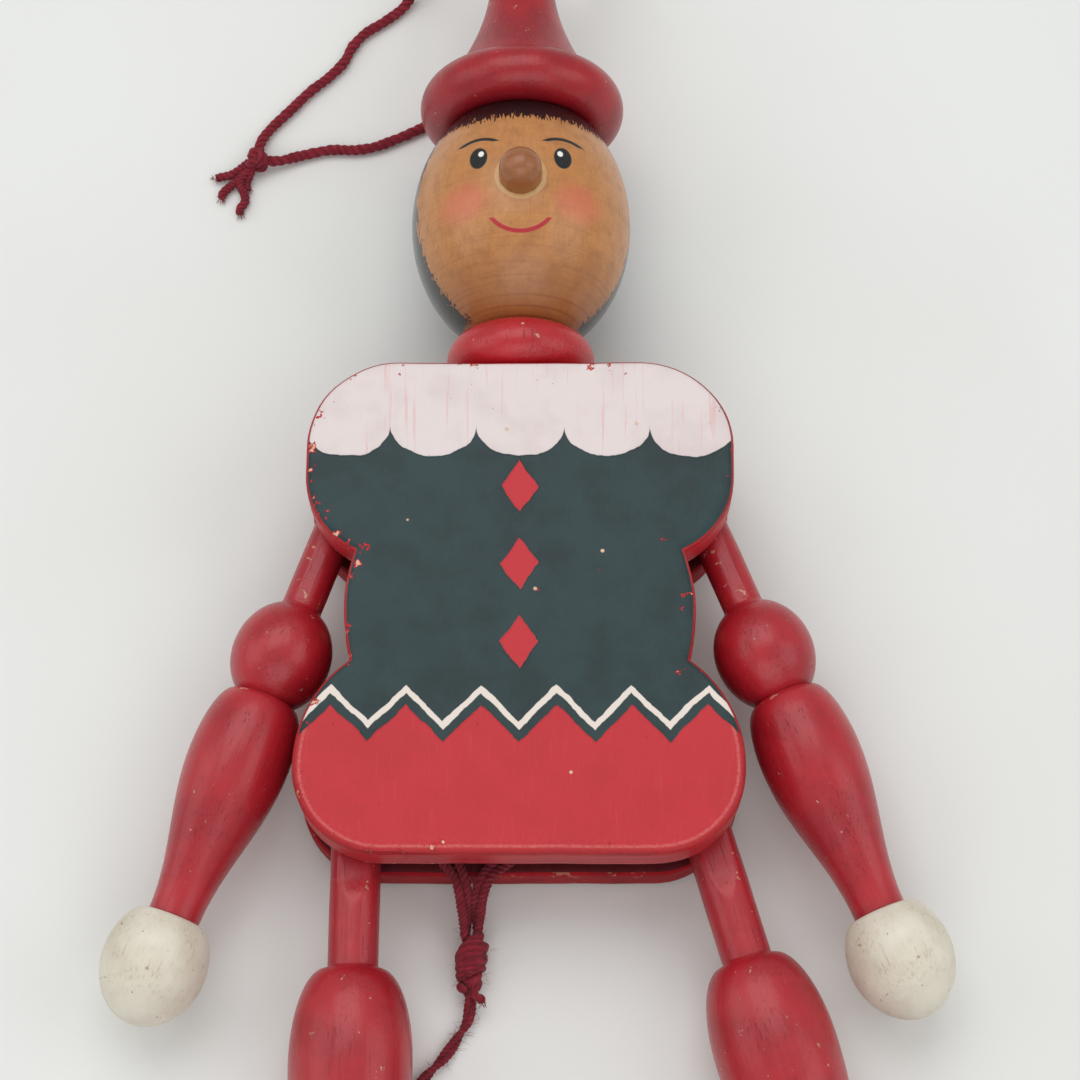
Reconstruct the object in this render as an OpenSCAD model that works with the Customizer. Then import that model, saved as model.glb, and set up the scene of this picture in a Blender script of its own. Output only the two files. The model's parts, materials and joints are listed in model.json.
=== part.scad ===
// Pull-string jumping jack: a wooden figure lying on its back, with turned arms and legs that swing
// between two body boards when the cord is pulled. All sizes are in millimetres.
// In the figure's own frame +X points to the viewer's right, +Y to the head and +Z out of the chest,
// with zero at the waist, midway between the boards. Left and right are as the viewer sees them.
// The finished figure rests on the back of its head and on its heels, on the plane Z = 0.

/* [Body boards] */
// Thickness of each board
board_t = 9; // [6:0.5:14]
// Gap between the two boards
board_gap = 8; // [7:0.5:10]
// Width across the shoulder lobes
shoulder_w = 82; // [78:1:96]
// Width at the waist
waist_w = 66; // [63:1:72]
// Width across the hip lobes
hip_w = 83; // [78:1:90]
// Height of the boards above the waist line
body_up = 50.5; // [49:0.5:60]
// Height of the boards below the waist line
body_down = 47; // [46:0.5:56]

/* [Head and hat] */
// Widest diameter of the head
head_d = 44.6; // [40:0.2:52]
// Height of the whole egg that the head is turned from
head_h = 56; // [52:0.5:66]
// Diameter of the ring at the neck
ring_d = 29.6; // [24:0.2:34]
// Height of the ring at the neck
ring_h = 10.5; // [8:0.5:14]
// Diameter of the dowel that carries the head
neck_dowel_d = 6; // [4.5:0.25:6.5]
// Diameter of the nose peg
nose_d = 8.4; // [6:0.2:11]
// How far the nose stands out of the face
nose_len = 6.5; // [4:0.5:9]
// Outer diameter of the hat brim
brim_d = 42.2; // [40:0.2:48]
// Thickness of the rolled brim
brim_roll = 11.2; // [9:0.2:13]
// Diameter of the hat's crown where it leaves the brim
crown_d = 30.8; // [28:0.2:34]
// Diameter of the hat at its slim neck
hat_neck_d = 13.2; // [11:0.2:15]
// Diameter of the knob on the hat
knob_d = 18; // [15:0.5:22]
// Height of the hat from the brim's centre to the knob's centre
hat_h = 43.5; // [42:0.5:52]

/* [Arms] */
// Diameter of the arm stems
arm_stem_d = 7.8; // [7:0.1:9]
// Distance from shoulder pin to elbow ball centre
elbow_at = 39; // [35:0.5:44]
// Diameter of the elbow ball
elbow_d = 19; // [16:0.2:22]
// Length of the elbow ball along the arm
elbow_len = 22; // [18:0.5:25]
// Widest diameter of the forearm
forearm_d = 19; // [16:0.2:22]
// Distance from shoulder pin to wrist
wrist_at = 92.5; // [82:0.5:100]
// Diameter of the wrist
wrist_d = 9.8; // [9:0.2:14]
// Diameter of the hand
hand_d = 19.4; // [16:0.2:22]
// Length of the whole egg that the hand is turned from
hand_len = 23.4; // [20:0.2:26]
// Angle of the left arm from straight down, at rest
arm_rest_left = 19.7; // [18:0.1:26]
// Angle of the right arm from straight down, at rest
arm_rest_right = 21.6; // [18:0.1:26]
// Distance from shoulder pin to string hole
arm_lever = 13; // [11:0.5:14]

/* [Legs] */
// Diameter of the leg stems
leg_stem_d = 9.3; // [7.6:0.1:10]
// Distance from hip pin to the top of the calf
calf_at = 41.5; // [36:0.5:50]
// Widest diameter of the calf
calf_d = 22.4; // [18:0.2:24]
// Distance from hip pin to ankle
ankle_at = 106; // [95:0.5:120]
// Diameter of the ankle
ankle_d = 12; // [10:0.2:14]
// Width of the shoe
shoe_w = 18; // [16:0.5:20]
// Length of the shoe past the leg's middle
shoe_len = 23; // [18:0.5:30]
// Height of the shoe
shoe_h = 12.5; // [11:0.5:15]
// Angle of the left leg from straight down, at rest
leg_rest_left = 0; // [0:0.5:10]
// Angle of the right leg from straight down, at rest
leg_rest_right = 16; // [8:0.5:20]
// Distance from hip pin to string hole
leg_lever = 12; // [11:0.5:13]

/* [Pins and cords] */
// Diameter of the pivot pins
pin_d = 2.4; // [2:0.1:3]
// Diameter of the pivot pin heads
pin_head_d = 5; // [4:0.1:6]
// Diameter of the strings inside the body
string_d = 1.7; // [1.2:0.1:2]
// Diameter of the hanging loop and the pull cord
cord_d = 2.4; // [2:0.1:2.6]
// Diameter of the bead on the pull cord
bead_d = 13; // [11:0.5:16]

/* [Hidden] */
$fn = 64;

// Fits: slide is the room at each side of a moving stem, run is the room round a pin
slide_fit = 0.3;
run_fit = 0.1;
glue_fit = 0.05;
cut_over = 1;

// Outline of the boards
shoulder_r = 17.5;
shoulder_block_h = 41;
hip_top_r = 24;
hip_corner_r = 16.5;
hip_block_h = 41.5;
waist_r = 40;
lobe_side = 0.5;

// Pivots and what lies between the boards
shoulder_x = 32.4;
shoulder_y = 31;
hip_x = 30.3;
hip_y = -24;
neck_block_w = 26;
neck_block_h = 20.5;
neck_dowel_in = 16.5;
waist_peg_d = 7;
waist_peg_x = 27.5;
waist_peg_y = 2;
pin_head_h = 0.9;
pin_in_front = 6;
nail_d = 1.4;
nail_head_d = 3;
nail_head_h = 0.6;
nail_in_peg_share = 0.4;
nail_in_block_share = 0.32;

// Stems: thickness of the tongue's thin end, how far below the pin it starts, and how far it runs past
// the string hole
thin_t = 3;
thin_below = 4;
tip_past = 3;
string_hole_d = 2.4;
arm_socket = 13;
leg_socket = 15;
flat_short = 1.5;

// Turned profiles
profile_steps = 20;
neck_lip = 1;
elbow_neck_d = 13.3;
elbow_neck_len = 1.9;
forearm_dome = 11.5;
calf_dome = 17;
tenon_d = 5.2;
tenon_len = 6;
hand_sink = 8.6;
heel_at = 6;
toe_d = 19;

// Head and hat details
head_seat_d = 19;
head_top = 24;
nose_peg_d = 4;
nose_peg_len = 7;
nose_seat = 0.9;
brim_over_head = 27;
crown_h = 27;
crown_power = 1.9;
hat_dowel_in = 14;
hat_hole_d = 3.2;

// Knots and string ends
stop_knot_d = 4;
stop_knot_h = 1.8;
peg_share = 0.85;
gather_x = -9;
gather_y = -62;
gather_d = 6.4;
gather_len = 9;
gather_lift = 0.5;
branch_top_left = -13.3;
branch_top_right = -2.5;
branch_room = 0.7;
strand_room_top = 1.3;
strand_room_end = 1.1;
string_in = 3;
string_part = 0.6;
string_clear = 0.75;
strand_steps = 8;
loop_knot_d = 6.6;
loop_knot_len = 8;
bead_knot_d = 5.2;
bead_knot_len = 4.6;
bead_hole_d = 3;
bead_lift = 0.3;
cord_sides = 8;

// Worked out from the sizes above
board_in = board_gap / 2;
board_out = board_in + board_t;
tongue_t = board_gap - 2 * slide_fit;
string_z = -(board_in + thin_t / 2) / 2;
string_low = string_in - body_down;
string_out = -body_down - string_clear;
branch_step = string_d + branch_room;
strand_step_top = string_d + strand_room_top;
strand_step_end = string_d + strand_room_end;
head_r = head_d / 2;
head_seat_y = body_up + ring_h;
head_y = head_seat_y + egg_offset(head_seat_d / 2);
hat_y = head_y + brim_over_head;
knob_y = hat_y + hat_h;
heel_reach = shoe_w / 2;
heel_y = hip_y - ankle_at - heel_at;

// The figure leans on the back of its head and on its left heel
lean_share = (head_r - heel_reach) / (head_y - heel_y);
lean = asin(lean_share);
waist_z = head_r - head_y * lean_share;

// Plan centre of the figure, without its cords
hand_at = wrist_at + hand_sink;
function hand_reach(angle) =
    hand_at * sin(angle) + norm([hand_d / 2 * cos(angle), hand_len / 2 * sin(angle)]);
reach_left = shoulder_x + hand_reach(arm_rest_left);
reach_right = shoulder_x + hand_reach(arm_rest_right);
reach_up = knob_y * cos(lean) + knob_d / 2;
sole_y = hip_y - ankle_at - shoe_h;
reach_down = -sole_y * cos(lean) + shoe_len * lean_share;
plan_x = (reach_left - reach_right) / 2;
plan_y = (reach_down - reach_up) / 2;

// Height of the ground under the figure's frame
function ground_z(y) = -(waist_z + y * lean_share) / cos(lean);
gather_z = ground_z(gather_y) + gather_d / 2 + gather_lift;

// A point of the figure's frame, seen from the ground under the waist
function on_ground(p) = [
    p[0],
    p[1] * cos(lean) - p[2] * lean_share,
    waist_z + p[1] * lean_share + p[2] * cos(lean)
];

// Routes of the free cords on the ground: the middle points are chosen by hand, the ends meet their holes
loop_start = on_ground([-knob_d / 2, knob_y, 0]);
loop_end = on_ground([knob_d / 2, knob_y, 0]);
loop_left_points = [
    [-13, 157, 26], [-17.5, 157.8, 23], [-20.5, 159, 17], [-22.2, 160, 10], [-23.6, 160.2, 4.6],
    [-25.2, 158.6, 1.9], [-27.2, 155.8, 1.3], [-31, 152.4, 1.3], [-35.2, 149.2, 1.3],
    [-38, 145.4, 1.3], [-39.6, 141.6, 1.3], [-42.8, 137.6, 1.3], [-47, 133.6, 1.3],
    [-51.2, 128.6, 1.3], [-54.8, 124.4, 1.3], [-56.8, 120.8, 1.7]
];
loop_right_points = [
    [-52.4, 115.4, 2], [-48.4, 117, 1.4], [-42, 118.6, 1.3], [-36.6, 118.6, 1.3], [-32.2, 119.4, 1.3],
    [-28, 121.2, 1.3], [-23.6, 123.4, 1.3], [-17, 127.4, 1.3], [-11.6, 133, 1.3], [-7.6, 139.4, 1.3],
    [-4.6, 146, 1.3], [-2.4, 152, 1.3], [0.4, 158.6, 1.3], [4.4, 164, 1.3], [9.4, 167.2, 1.7],
    [14.6, 167.4, 4], [18.4, 165.4, 8.6], [20, 162.2, 14.6], [19.4, 159.2, 20], [16.8, 157.4, 24],
    [13, 157, 26]
];
loop_knot_at = [-57, 116, 3.4];
loop_knot_turn = 155;
tail_points = [
    [-9.4, -71.4, 1.9], [-11, -74.6, 1.3], [-14, -79, 1.3], [-17.6, -83, 1.3], [-20, -87.6, 1.3],
    [-20.6, -93, 1.3], [-19, -98.6, 1.3], [-16, -103.8, 1.3], [-12.6, -108.6, 1.3],
    [-9.8, -113.6, 1.3], [-8, -118.6, 1.6], [-7.2, -123, 3.2], [-7, -127, 5.4], [-7, -130.4, 6.6]
];
bead_x = -7;
bead_y = -138;
bead_z = bead_d / 2 + bead_lift;
bead_knot_y = bead_y - bead_d / 2 - bead_knot_len / 2 - glue_fit;

// Placing: the ground under the figure, the leaning figure on it, and a limb on its pin
module on_plan() {
    translate([plan_x, plan_y, 0]) children();
}

module lying() {
    on_plan() translate([0, 0, waist_z]) rotate([lean, 0, 0]) children();
}

module on_shoulder(side) {
    angle = side < 0 ? arm_rest_left : arm_rest_right;
    lying() translate([side * shoulder_x, shoulder_y, 0]) rotate([0, 0, side * angle]) children();
}

module on_hip(side) {
    angle = side < 0 ? leg_rest_left : leg_rest_right;
    lying() translate([side * hip_x, hip_y, 0]) rotate([0, 0, side * angle]) children();
}

// Turning: profiles are drawn as [radius, distance], away from the pin or up from the waist
module turned_down() {
    rotate([90, 0, 0]) rotate_extrude() children();
}

module turned_up() {
    rotate([-90, 0, 0]) rotate_extrude() children();
}

module bore_up(d, from, to) {
    translate([0, from, 0]) rotate([-90, 0, 0]) cylinder(d = d, h = to - from);
}

module bore_through(d, half) {
    translate([0, 0, -half]) cylinder(d = d, h = 2 * half);
}

// Radius of the head's egg at a distance from its centre, and that distance for a radius
function egg_radius(offset) = head_d / 2 * sqrt(1 - pow(offset / (head_h / 2), 2));
function egg_offset(radius) = head_h / 2 * sqrt(1 - pow(radius / (head_d / 2), 2));

// A round shoulder from one radius to a larger one, and a slow taper between two radii
function dome(r0, r1, from, len) = [
    for (i = [0 : profile_steps])
        let (a = 90 * i / profile_steps)
        [r0 + (r1 - r0) * sin(a), from + len * (1 - cos(a))]
];
function taper(r0, r1, from, to) = [
    for (i = [1 : profile_steps])
        let (s = i / profile_steps)
        [r0 + (r1 - r0) * (1 - cos(180 * s)) / 2, from + (to - from) * s]
];

// Sweeping: rings round the points of a route, each turned as little as possible from the last
function unit(v) = v / norm(v);
function heading(p, i) = unit(p[min(i + 1, len(p) - 1)] - p[max(i - 1, 0)]);
function first_side(t) = unit(cross(t, abs(t[2]) < abs(t[0]) ? [0, 0, 1] : [0, 1, 0]));
function sides_along(p) = [
    for (i = 0, n = first_side(heading(p, 0)); i < len(p);
         i = i + 1,
         n = i < len(p) ? unit(n - (n * heading(p, i)) * heading(p, i)) : n)
        n
];

module swept_cord(p, d) {
    side = sides_along(p);
    rings = len(p);
    points = [
        for (i = [0 : rings - 1])
            let (n = side[i], b = cross(heading(p, i), n))
            for (k = [0 : cord_sides - 1])
                let (a = 360 * k / cord_sides)
                p[i] + d / 2 * (cos(a) * n + sin(a) * b)
    ];
    walls = [
        for (i = [0 : rings - 2], k = [0 : cord_sides - 1])
            let (m = (k + 1) % cord_sides, q = i * cord_sides, r = q + cord_sides)
            for (f = [[q + k, r + k, q + m], [q + m, r + k, r + m]]) f
    ];
    first = [for (k = [0 : cord_sides - 1]) k];
    last = [for (k = [0 : cord_sides - 1]) rings * cord_sides - 1 - k];
    polyhedron(points, concat(walls, [first], [last]));
}

// Outline of a board: two shoulder lobes, a waist that swells a little, and two hip lobes
module lobes(width, top, bottom, r_top, r_bottom) {
    side_top = top - r_top;
    side_bottom = bottom + r_bottom;
    translate([-width / 2, side_bottom]) square([width, side_top - side_bottom]);
    translate([r_top - width / 2, side_bottom]) square([width - 2 * r_top, top - side_bottom]);
    translate([r_bottom - width / 2, bottom]) square([width - 2 * r_bottom, side_top - bottom]);
    for (side = [-1, 1]) {
        translate([side * (width / 2 - r_top), side_top]) intersection() {
            circle(r = r_top);
            translate([-r_top, 0]) square([2 * r_top, r_top]);
        }
        translate([side * (width / 2 - r_bottom), side_bottom]) intersection() {
            circle(r = r_bottom);
            translate([-r_bottom, -r_bottom]) square([2 * r_bottom, r_bottom]);
        }
    }
}

module board_outline() {
    lobes(shoulder_w, body_up, body_up - shoulder_block_h, shoulder_r, shoulder_r);
    hip_r = min(hip_top_r, hip_block_h - hip_corner_r - lobe_side);
    lobes(hip_w, hip_block_h - body_down, -body_down, hip_r, hip_corner_r);
    intersection_for (side = [-1, 1]) {
        translate([side * (waist_r - waist_w / 2), 0]) circle(r = waist_r);
    }
}

module at_pins() {
    for (side = [-1, 1]) {
        translate([side * shoulder_x, shoulder_y, 0]) children();
        translate([side * hip_x, hip_y, 0]) children();
    }
}

module at_nails() {
    for (side = [-1, 1]) {
        translate([side * waist_peg_x, waist_peg_y, 0]) children();
        translate([side * neck_block_w * nail_in_block_share, body_up - neck_block_h / 2, 0]) children();
    }
}

module front_board() {
    color("firebrick") lying() difference() {
        translate([0, 0, board_in]) linear_extrude(board_t) board_outline();
        at_pins() translate([0, 0, board_in - cut_over])
            cylinder(d = pin_d + 2 * glue_fit, h = cut_over + pin_in_front + glue_fit);
    }
}

module back_board() {
    color("darkred") lying() difference() {
        translate([0, 0, -board_out]) linear_extrude(board_t) board_outline();
        at_pins() {
            bore_through(pin_d + 2 * glue_fit, board_out + cut_over);
            translate([0, 0, -board_out - cut_over])
                cylinder(d = pin_head_d + 2 * glue_fit, h = cut_over + pin_head_h + glue_fit);
        }
        at_nails() {
            bore_through(nail_d + 2 * glue_fit, board_out + cut_over);
            translate([0, 0, -board_out - cut_over])
                cylinder(d = nail_head_d + 2 * glue_fit, h = cut_over + nail_head_h + glue_fit);
        }
    }
}

module neck_block() {
    color("burlywood") lying() difference() {
        translate([-neck_block_w / 2, body_up - neck_block_h, -board_in])
            cube([neck_block_w, neck_block_h, board_gap]);
        bore_up(neck_dowel_d + 2 * glue_fit, body_up - neck_dowel_in - glue_fit, body_up + cut_over);
        at_nails() bore_through(nail_d + 2 * glue_fit, board_in + cut_over);
    }
}

module waist_peg(side) {
    color("burlywood") lying() difference() {
        translate([side * waist_peg_x, waist_peg_y, -board_in]) cylinder(d = waist_peg_d, h = board_gap);
        at_nails() bore_through(nail_d + 2 * glue_fit, board_in + cut_over);
    }
}

// A driven pin: its head lies flush in the back board
module driven_pin(d, head_d, head_h, tip_z) {
    translate([0, 0, -board_out]) {
        cylinder(d = head_d, h = head_h);
        cylinder(d = d, h = board_out + tip_z);
    }
}

module shoulder_pin(side) {
    color("silver") lying() translate([side * shoulder_x, shoulder_y, 0])
        driven_pin(pin_d, pin_head_d, pin_head_h, board_in + pin_in_front);
}

module hip_pin(side) {
    color("silver") lying() translate([side * hip_x, hip_y, 0])
        driven_pin(pin_d, pin_head_d, pin_head_h, board_in + pin_in_front);
}

module board_nails() {
    color("silver") lying() at_nails()
        driven_pin(nail_d, nail_head_d, nail_head_h, board_gap * nail_in_peg_share - board_in);
}

module neck_dowel() {
    color("burlywood") lying()
        bore_up(neck_dowel_d, body_up - neck_dowel_in, head_y + head_top + hat_dowel_in);
}

module neck_ring() {
    color("indianred") lying() difference() {
        turned_up() translate([0, body_up]) {
            square([ring_d / 2 - ring_h / 2, ring_h]);
            translate([ring_d / 2 - ring_h / 2, ring_h / 2]) circle(d = ring_h);
        }
        bore_up(neck_dowel_d + 2 * glue_fit, body_up - cut_over, head_seat_y + cut_over);
    }
}

// The head's turned profile, grown evenly for the hollow that fits over it
module head_profile(grow) {
    low = -egg_offset(head_seat_d / 2);
    polygon(concat(
        [[0, low]],
        [
            for (i = [0 : 2 * profile_steps])
                let (offset = low + (head_top - low) * i / (2 * profile_steps))
                [egg_radius(offset) + grow, offset]
        ],
        [[egg_radius(head_top) + grow, head_top + grow], [0, head_top + grow]]
    ));
}

module head() {
    color("peru") lying() difference() {
        turned_up() translate([0, head_y]) head_profile(0);
        bore_up(neck_dowel_d + 2 * glue_fit, head_seat_y - cut_over, head_y + head_top + cut_over);
        translate([0, head_y, head_r - nose_seat]) cylinder(d = nose_d + 2 * glue_fit, h = head_r);
        translate([0, head_y, head_r - nose_seat - nose_peg_len - glue_fit])
            cylinder(d = nose_peg_d + 2 * glue_fit, h = head_r);
    }
}

module nose() {
    color("peru") lying() translate([0, head_y, head_r - nose_seat]) {
        translate([0, 0, -nose_peg_len]) cylinder(d = nose_peg_d, h = nose_peg_len + nose_seat);
        rotate_extrude() intersection() {
            square([nose_d / 2, nose_seat + nose_len]);
            union() {
                square([nose_d / 2, nose_seat + nose_len - nose_d / 2]);
                translate([0, nose_seat + nose_len - nose_d / 2]) circle(d = nose_d);
            }
        }
    }
}

// Radius of the hat's crown, which flares from its slim neck down to the brim
function crown_radius(up_share) = (hat_neck_d + (crown_d - hat_neck_d) * pow(1 - up_share, crown_power)) / 2;

module hat_profile() {
    roll_x = brim_d / 2 - brim_roll / 2;
    roll_top = brim_roll / 2;
    square_bottom = head_top - brim_over_head - glue_fit;
    translate([roll_x, 0]) circle(d = brim_roll);
    translate([0, square_bottom]) square([roll_x, roll_top - square_bottom]);
    polygon(concat(
        [[0, 0]],
        [
            for (i = [0 : profile_steps])
                let (up_share = i / profile_steps)
                [crown_radius(up_share), roll_top + crown_h * up_share]
        ],
        [[hat_neck_d / 2, hat_h], [0, hat_h]]
    ));
    translate([0, hat_h]) intersection() {
        circle(d = knob_d);
        translate([0, -knob_d]) square([knob_d, 2 * knob_d]);
    }
}

module hat() {
    color("brown") lying() difference() {
        turned_up() translate([0, hat_y]) difference() {
            hat_profile();
            translate([0, -brim_over_head]) head_profile(glue_fit);
        }
        bore_up(neck_dowel_d + 2 * glue_fit, head_y, head_y + head_top + hat_dowel_in + glue_fit);
        translate([0, knob_y, 0]) rotate([0, 90, 0]) bore_through(hat_hole_d, knob_d);
    }
}

// A stem is a dowel planed flat to run between the boards, with a thin end for the string
module stem(d, lever, reach, flat_to) {
    tip = lever + tip_past;
    difference() {
        bore_up(d, -reach, tip);
        for (side = [-1, 1]) {
            translate([-d, -flat_to, side < 0 ? -d - tongue_t / 2 : tongue_t / 2])
                cube([2 * d, flat_to + tip + cut_over, d]);
            translate([-d, -thin_below, side < 0 ? -d - thin_t / 2 : thin_t / 2])
                cube([2 * d, thin_below + tip + cut_over, d]);
        }
        bore_through(pin_d + 2 * run_fit, d);
        translate([0, lever, 0]) bore_through(string_hole_d, d);
    }
}

// Where the elbow ball's surface meets the stem, and the angle at which the ball runs into its neck
elbow_mouth = elbow_at - elbow_len / 2 * sqrt(1 - pow(arm_stem_d / elbow_d, 2));
elbow_neck_angle = 180 - asin(elbow_neck_d / elbow_d);

module arm_stem(side) {
    color("firebrick") on_shoulder(side)
        stem(arm_stem_d, arm_lever, elbow_mouth + arm_socket, elbow_mouth - flat_short);
}

module arm(side) {
    from = elbow_at - elbow_len / 2 * cos(elbow_neck_angle) + elbow_neck_len;
    color("firebrick") on_shoulder(side) difference() {
        turned_down() polygon(concat(
            [
                for (i = [0 : profile_steps])
                    let (a = elbow_neck_angle * i / profile_steps)
                    [elbow_d / 2 * sin(a), elbow_at - elbow_len / 2 * cos(a)]
            ],
            dome(elbow_neck_d / 2, forearm_d / 2, from, forearm_dome),
            taper(forearm_d / 2, wrist_d / 2, from + forearm_dome, wrist_at),
            [[tenon_d / 2, wrist_at], [tenon_d / 2, wrist_at + tenon_len], [0, wrist_at + tenon_len]]
        ));
        bore_up(arm_stem_d + 2 * glue_fit, -elbow_mouth - arm_socket - glue_fit, 0);
    }
}

module hand(side) {
    first = acos(2 * hand_sink / hand_len);
    color("antiquewhite") on_shoulder(side) difference() {
        turned_down() translate([0, hand_at + glue_fit]) polygon(concat(
            [[0, -hand_sink]],
            [
                for (i = [0 : 2 * profile_steps])
                    let (a = first + (180 - first) * i / (2 * profile_steps))
                    [hand_d / 2 * sin(a), -hand_len / 2 * cos(a)]
            ]
        ));
        bore_up(tenon_d + 2 * glue_fit, -wrist_at - tenon_len - glue_fit, 0);
    }
}

module leg_stem(side) {
    color("firebrick") on_hip(side)
        stem(leg_stem_d, leg_lever, calf_at + leg_socket, calf_at - flat_short);
}

module leg(side) {
    color("firebrick") on_hip(side) difference() {
        turned_down() polygon(concat(
            [[0, calf_at]],
            dome((leg_stem_d + neck_lip) / 2, calf_d / 2, calf_at, calf_dome),
            taper(calf_d / 2, ankle_d / 2, calf_at + calf_dome, ankle_at),
            [[tenon_d / 2, ankle_at], [tenon_d / 2, ankle_at + tenon_len], [0, ankle_at + tenon_len]]
        ));
        bore_up(leg_stem_d + 2 * glue_fit, -calf_at - leg_socket - glue_fit, 0);
    }
}

// A shoe with a round heel under the leg, a rounder toe, a flat sole and a flat top
module shoe(side) {
    sole = ankle_at + shoe_h;
    color("saddlebrown") on_hip(side) difference() {
        hull() {
            translate([0, -ankle_at - heel_at, 0]) sphere(d = shoe_w, $fn = 32);
            translate([0, -ankle_at - heel_at, shoe_len - toe_d / 2]) sphere(d = toe_d, $fn = 32);
        }
        translate([-shoe_len, -ankle_at - glue_fit, -shoe_len])
            cube([2 * shoe_len, shoe_len, 3 * shoe_len]);
        translate([-shoe_len, -sole - shoe_len, -shoe_len]) cube([2 * shoe_len, shoe_len, 3 * shoe_len]);
        bore_up(tenon_d + 2 * glue_fit, -ankle_at - tenon_len - glue_fit, 0);
    }
}

// Strings run behind the thin stem ends, two to a branch: the arm's strand is the inner one.
// kind is 1 for a leg and -1 for an arm
function branch_top(side) = side < 0 ? branch_top_left : branch_top_right;
function string_end(side, kind) = [branch_top(side) + kind * side * strand_step_top / 2, string_low, string_z];

// A string: a stop knot in front, a short run through the stem's hole, then straight down in the gap
module limb_string(hole, side, kind) {
    start = [hole[0], hole[1], string_z];
    end = string_end(side, kind);
    way = unit(end - start);
    stop_z = thin_t / 2 + run_fit;
    peg_len = stop_z + stop_knot_h / 2 - string_z;
    color("maroon") lying() {
        swept_cord([start - way * string_d / 2, end], string_d);
        translate(start) cylinder(d = string_d * peg_share, h = peg_len);
        translate([hole[0], hole[1], stop_z]) cylinder(d = stop_knot_d, h = stop_knot_h);
    }
}

function lever_hole(x, y, side, angle, lever) =
    [side * (x - lever * sin(angle)), y + lever * cos(angle)];

module arm_string(side) {
    angle = side < 0 ? arm_rest_left : arm_rest_right;
    limb_string(lever_hole(shoulder_x, shoulder_y, side, angle, arm_lever), side, -1);
}

module leg_string(side) {
    angle = side < 0 ? leg_rest_left : leg_rest_right;
    limb_string(lever_hole(hip_x, hip_y, side, angle, leg_lever), side, 1);
}

// The last stretch of a string, from inside the gap down to the gather knot: the two strands of a branch
// lie side by side down to the boards' lower edge, then turn to lie one above the other at the knot
function strand_points(side, kind) = [
    for (i = [0 : strand_steps])
        let (
            s = i / strand_steps,
            ease = 1 - pow(1 - s, 2),
            top_y = string_low - string_part,
            end_y = gather_y + gather_len / 2 + slide_fit,
            y = top_y + (end_y - top_y) * s,
            out = max(0, (string_out - y) / (string_out - end_y)),
            fall = out * out * (3 - 2 * out),
            turn = 90 * (1 - pow(1 - out, 2)),
            half = (strand_step_top + (strand_step_end - strand_step_top) * ease) / 2,
            mid_x = branch_top(side) + (gather_x + side * branch_step / 2 - branch_top(side)) * ease
        )
        [
            mid_x + kind * side * half * cos(turn),
            y,
            string_z + (gather_z - string_z) * fall + kind * half * sin(turn)
        ]
];

module string_ends() {
    color("maroon") lying() for (side = [-1, 1], kind = [-1, 1]) {
        swept_cord(strand_points(side, kind), string_d);
    }
}

// A wound knot: a barrel along Y with round ends
module barrel(d, length) {
    rotate([90, 0, 0]) translate([0, 0, -length / 2]) rotate_extrude() intersection() {
        square([d / 2, length]);
        union() {
            translate([0, d / 4]) square([d / 2, length - d / 2]);
            square([d / 4, length]);
            for (end = [d / 4, length - d / 4]) translate([d / 4, end]) circle(d = d / 2);
        }
    }
}

module gather_knot() {
    color("maroon") lying() translate([gather_x, gather_y, gather_z]) barrel(gather_d, gather_len);
}

module pull_cord() {
    start = on_ground([gather_x, gather_y - gather_len / 2 - glue_fit, gather_z]);
    end = [bead_x, bead_knot_y + bead_knot_len / 2 + glue_fit, bead_z];
    color("maroon") on_plan()
        swept_cord(concat([start], tail_points, [[bead_x, bead_y, bead_z], end]), cord_d);
}

module pull_bead() {
    color("firebrick") on_plan() translate([bead_x, bead_y, bead_z]) difference() {
        sphere(d = bead_d);
        rotate([90, 0, 0]) bore_through(bead_hole_d, bead_d);
    }
}

module bead_knot() {
    color("maroon") on_plan() translate([bead_x, bead_knot_y, bead_z]) barrel(bead_knot_d, bead_knot_len);
}

module loop_knot() {
    color("maroon") on_plan() translate(loop_knot_at) rotate([0, 0, loop_knot_turn])
        rotate([0, 0, 90]) barrel(loop_knot_d, loop_knot_len);
}

module hanging_loop() {
    color("maroon") on_plan() {
        swept_cord(concat([loop_start], loop_left_points), cord_d);
        swept_cord(concat(loop_right_points, [loop_end]), cord_d);
    }
}

front_board();
back_board();
neck_block();
waist_peg(-1);  // waist_peg_left
waist_peg(1);  // waist_peg_right
neck_dowel();
neck_ring();
head();
nose();
hat();
shoulder_pin(-1);  // shoulder_pin_left
shoulder_pin(1);  // shoulder_pin_right
hip_pin(-1);  // hip_pin_left
hip_pin(1);  // hip_pin_right
board_nails();
hanging_loop();
loop_knot();
arm_stem(-1);  // arm_stem_left
arm_stem(1);  // arm_stem_right
arm(-1);  // arm_left
arm(1);  // arm_right
hand(-1);  // hand_left
hand(1);  // hand_right
leg_stem(-1);  // leg_stem_left
leg_stem(1);  // leg_stem_right
leg(-1);  // leg_left
leg(1);  // leg_right
shoe(-1);  // shoe_left
shoe(1);  // shoe_right
arm_string(-1);  // arm_string_left
arm_string(1);  // arm_string_right
leg_string(-1);  // leg_string_left
leg_string(1);  // leg_string_right
string_ends();
gather_knot();
pull_cord();
pull_bead();
bead_knot();
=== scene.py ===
import json
import random
from math import acos, asin, ceil, cos, degrees, pi, radians, sin, sqrt

import bmesh
import bpy
from mathutils import Matrix, Vector, noise


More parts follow.
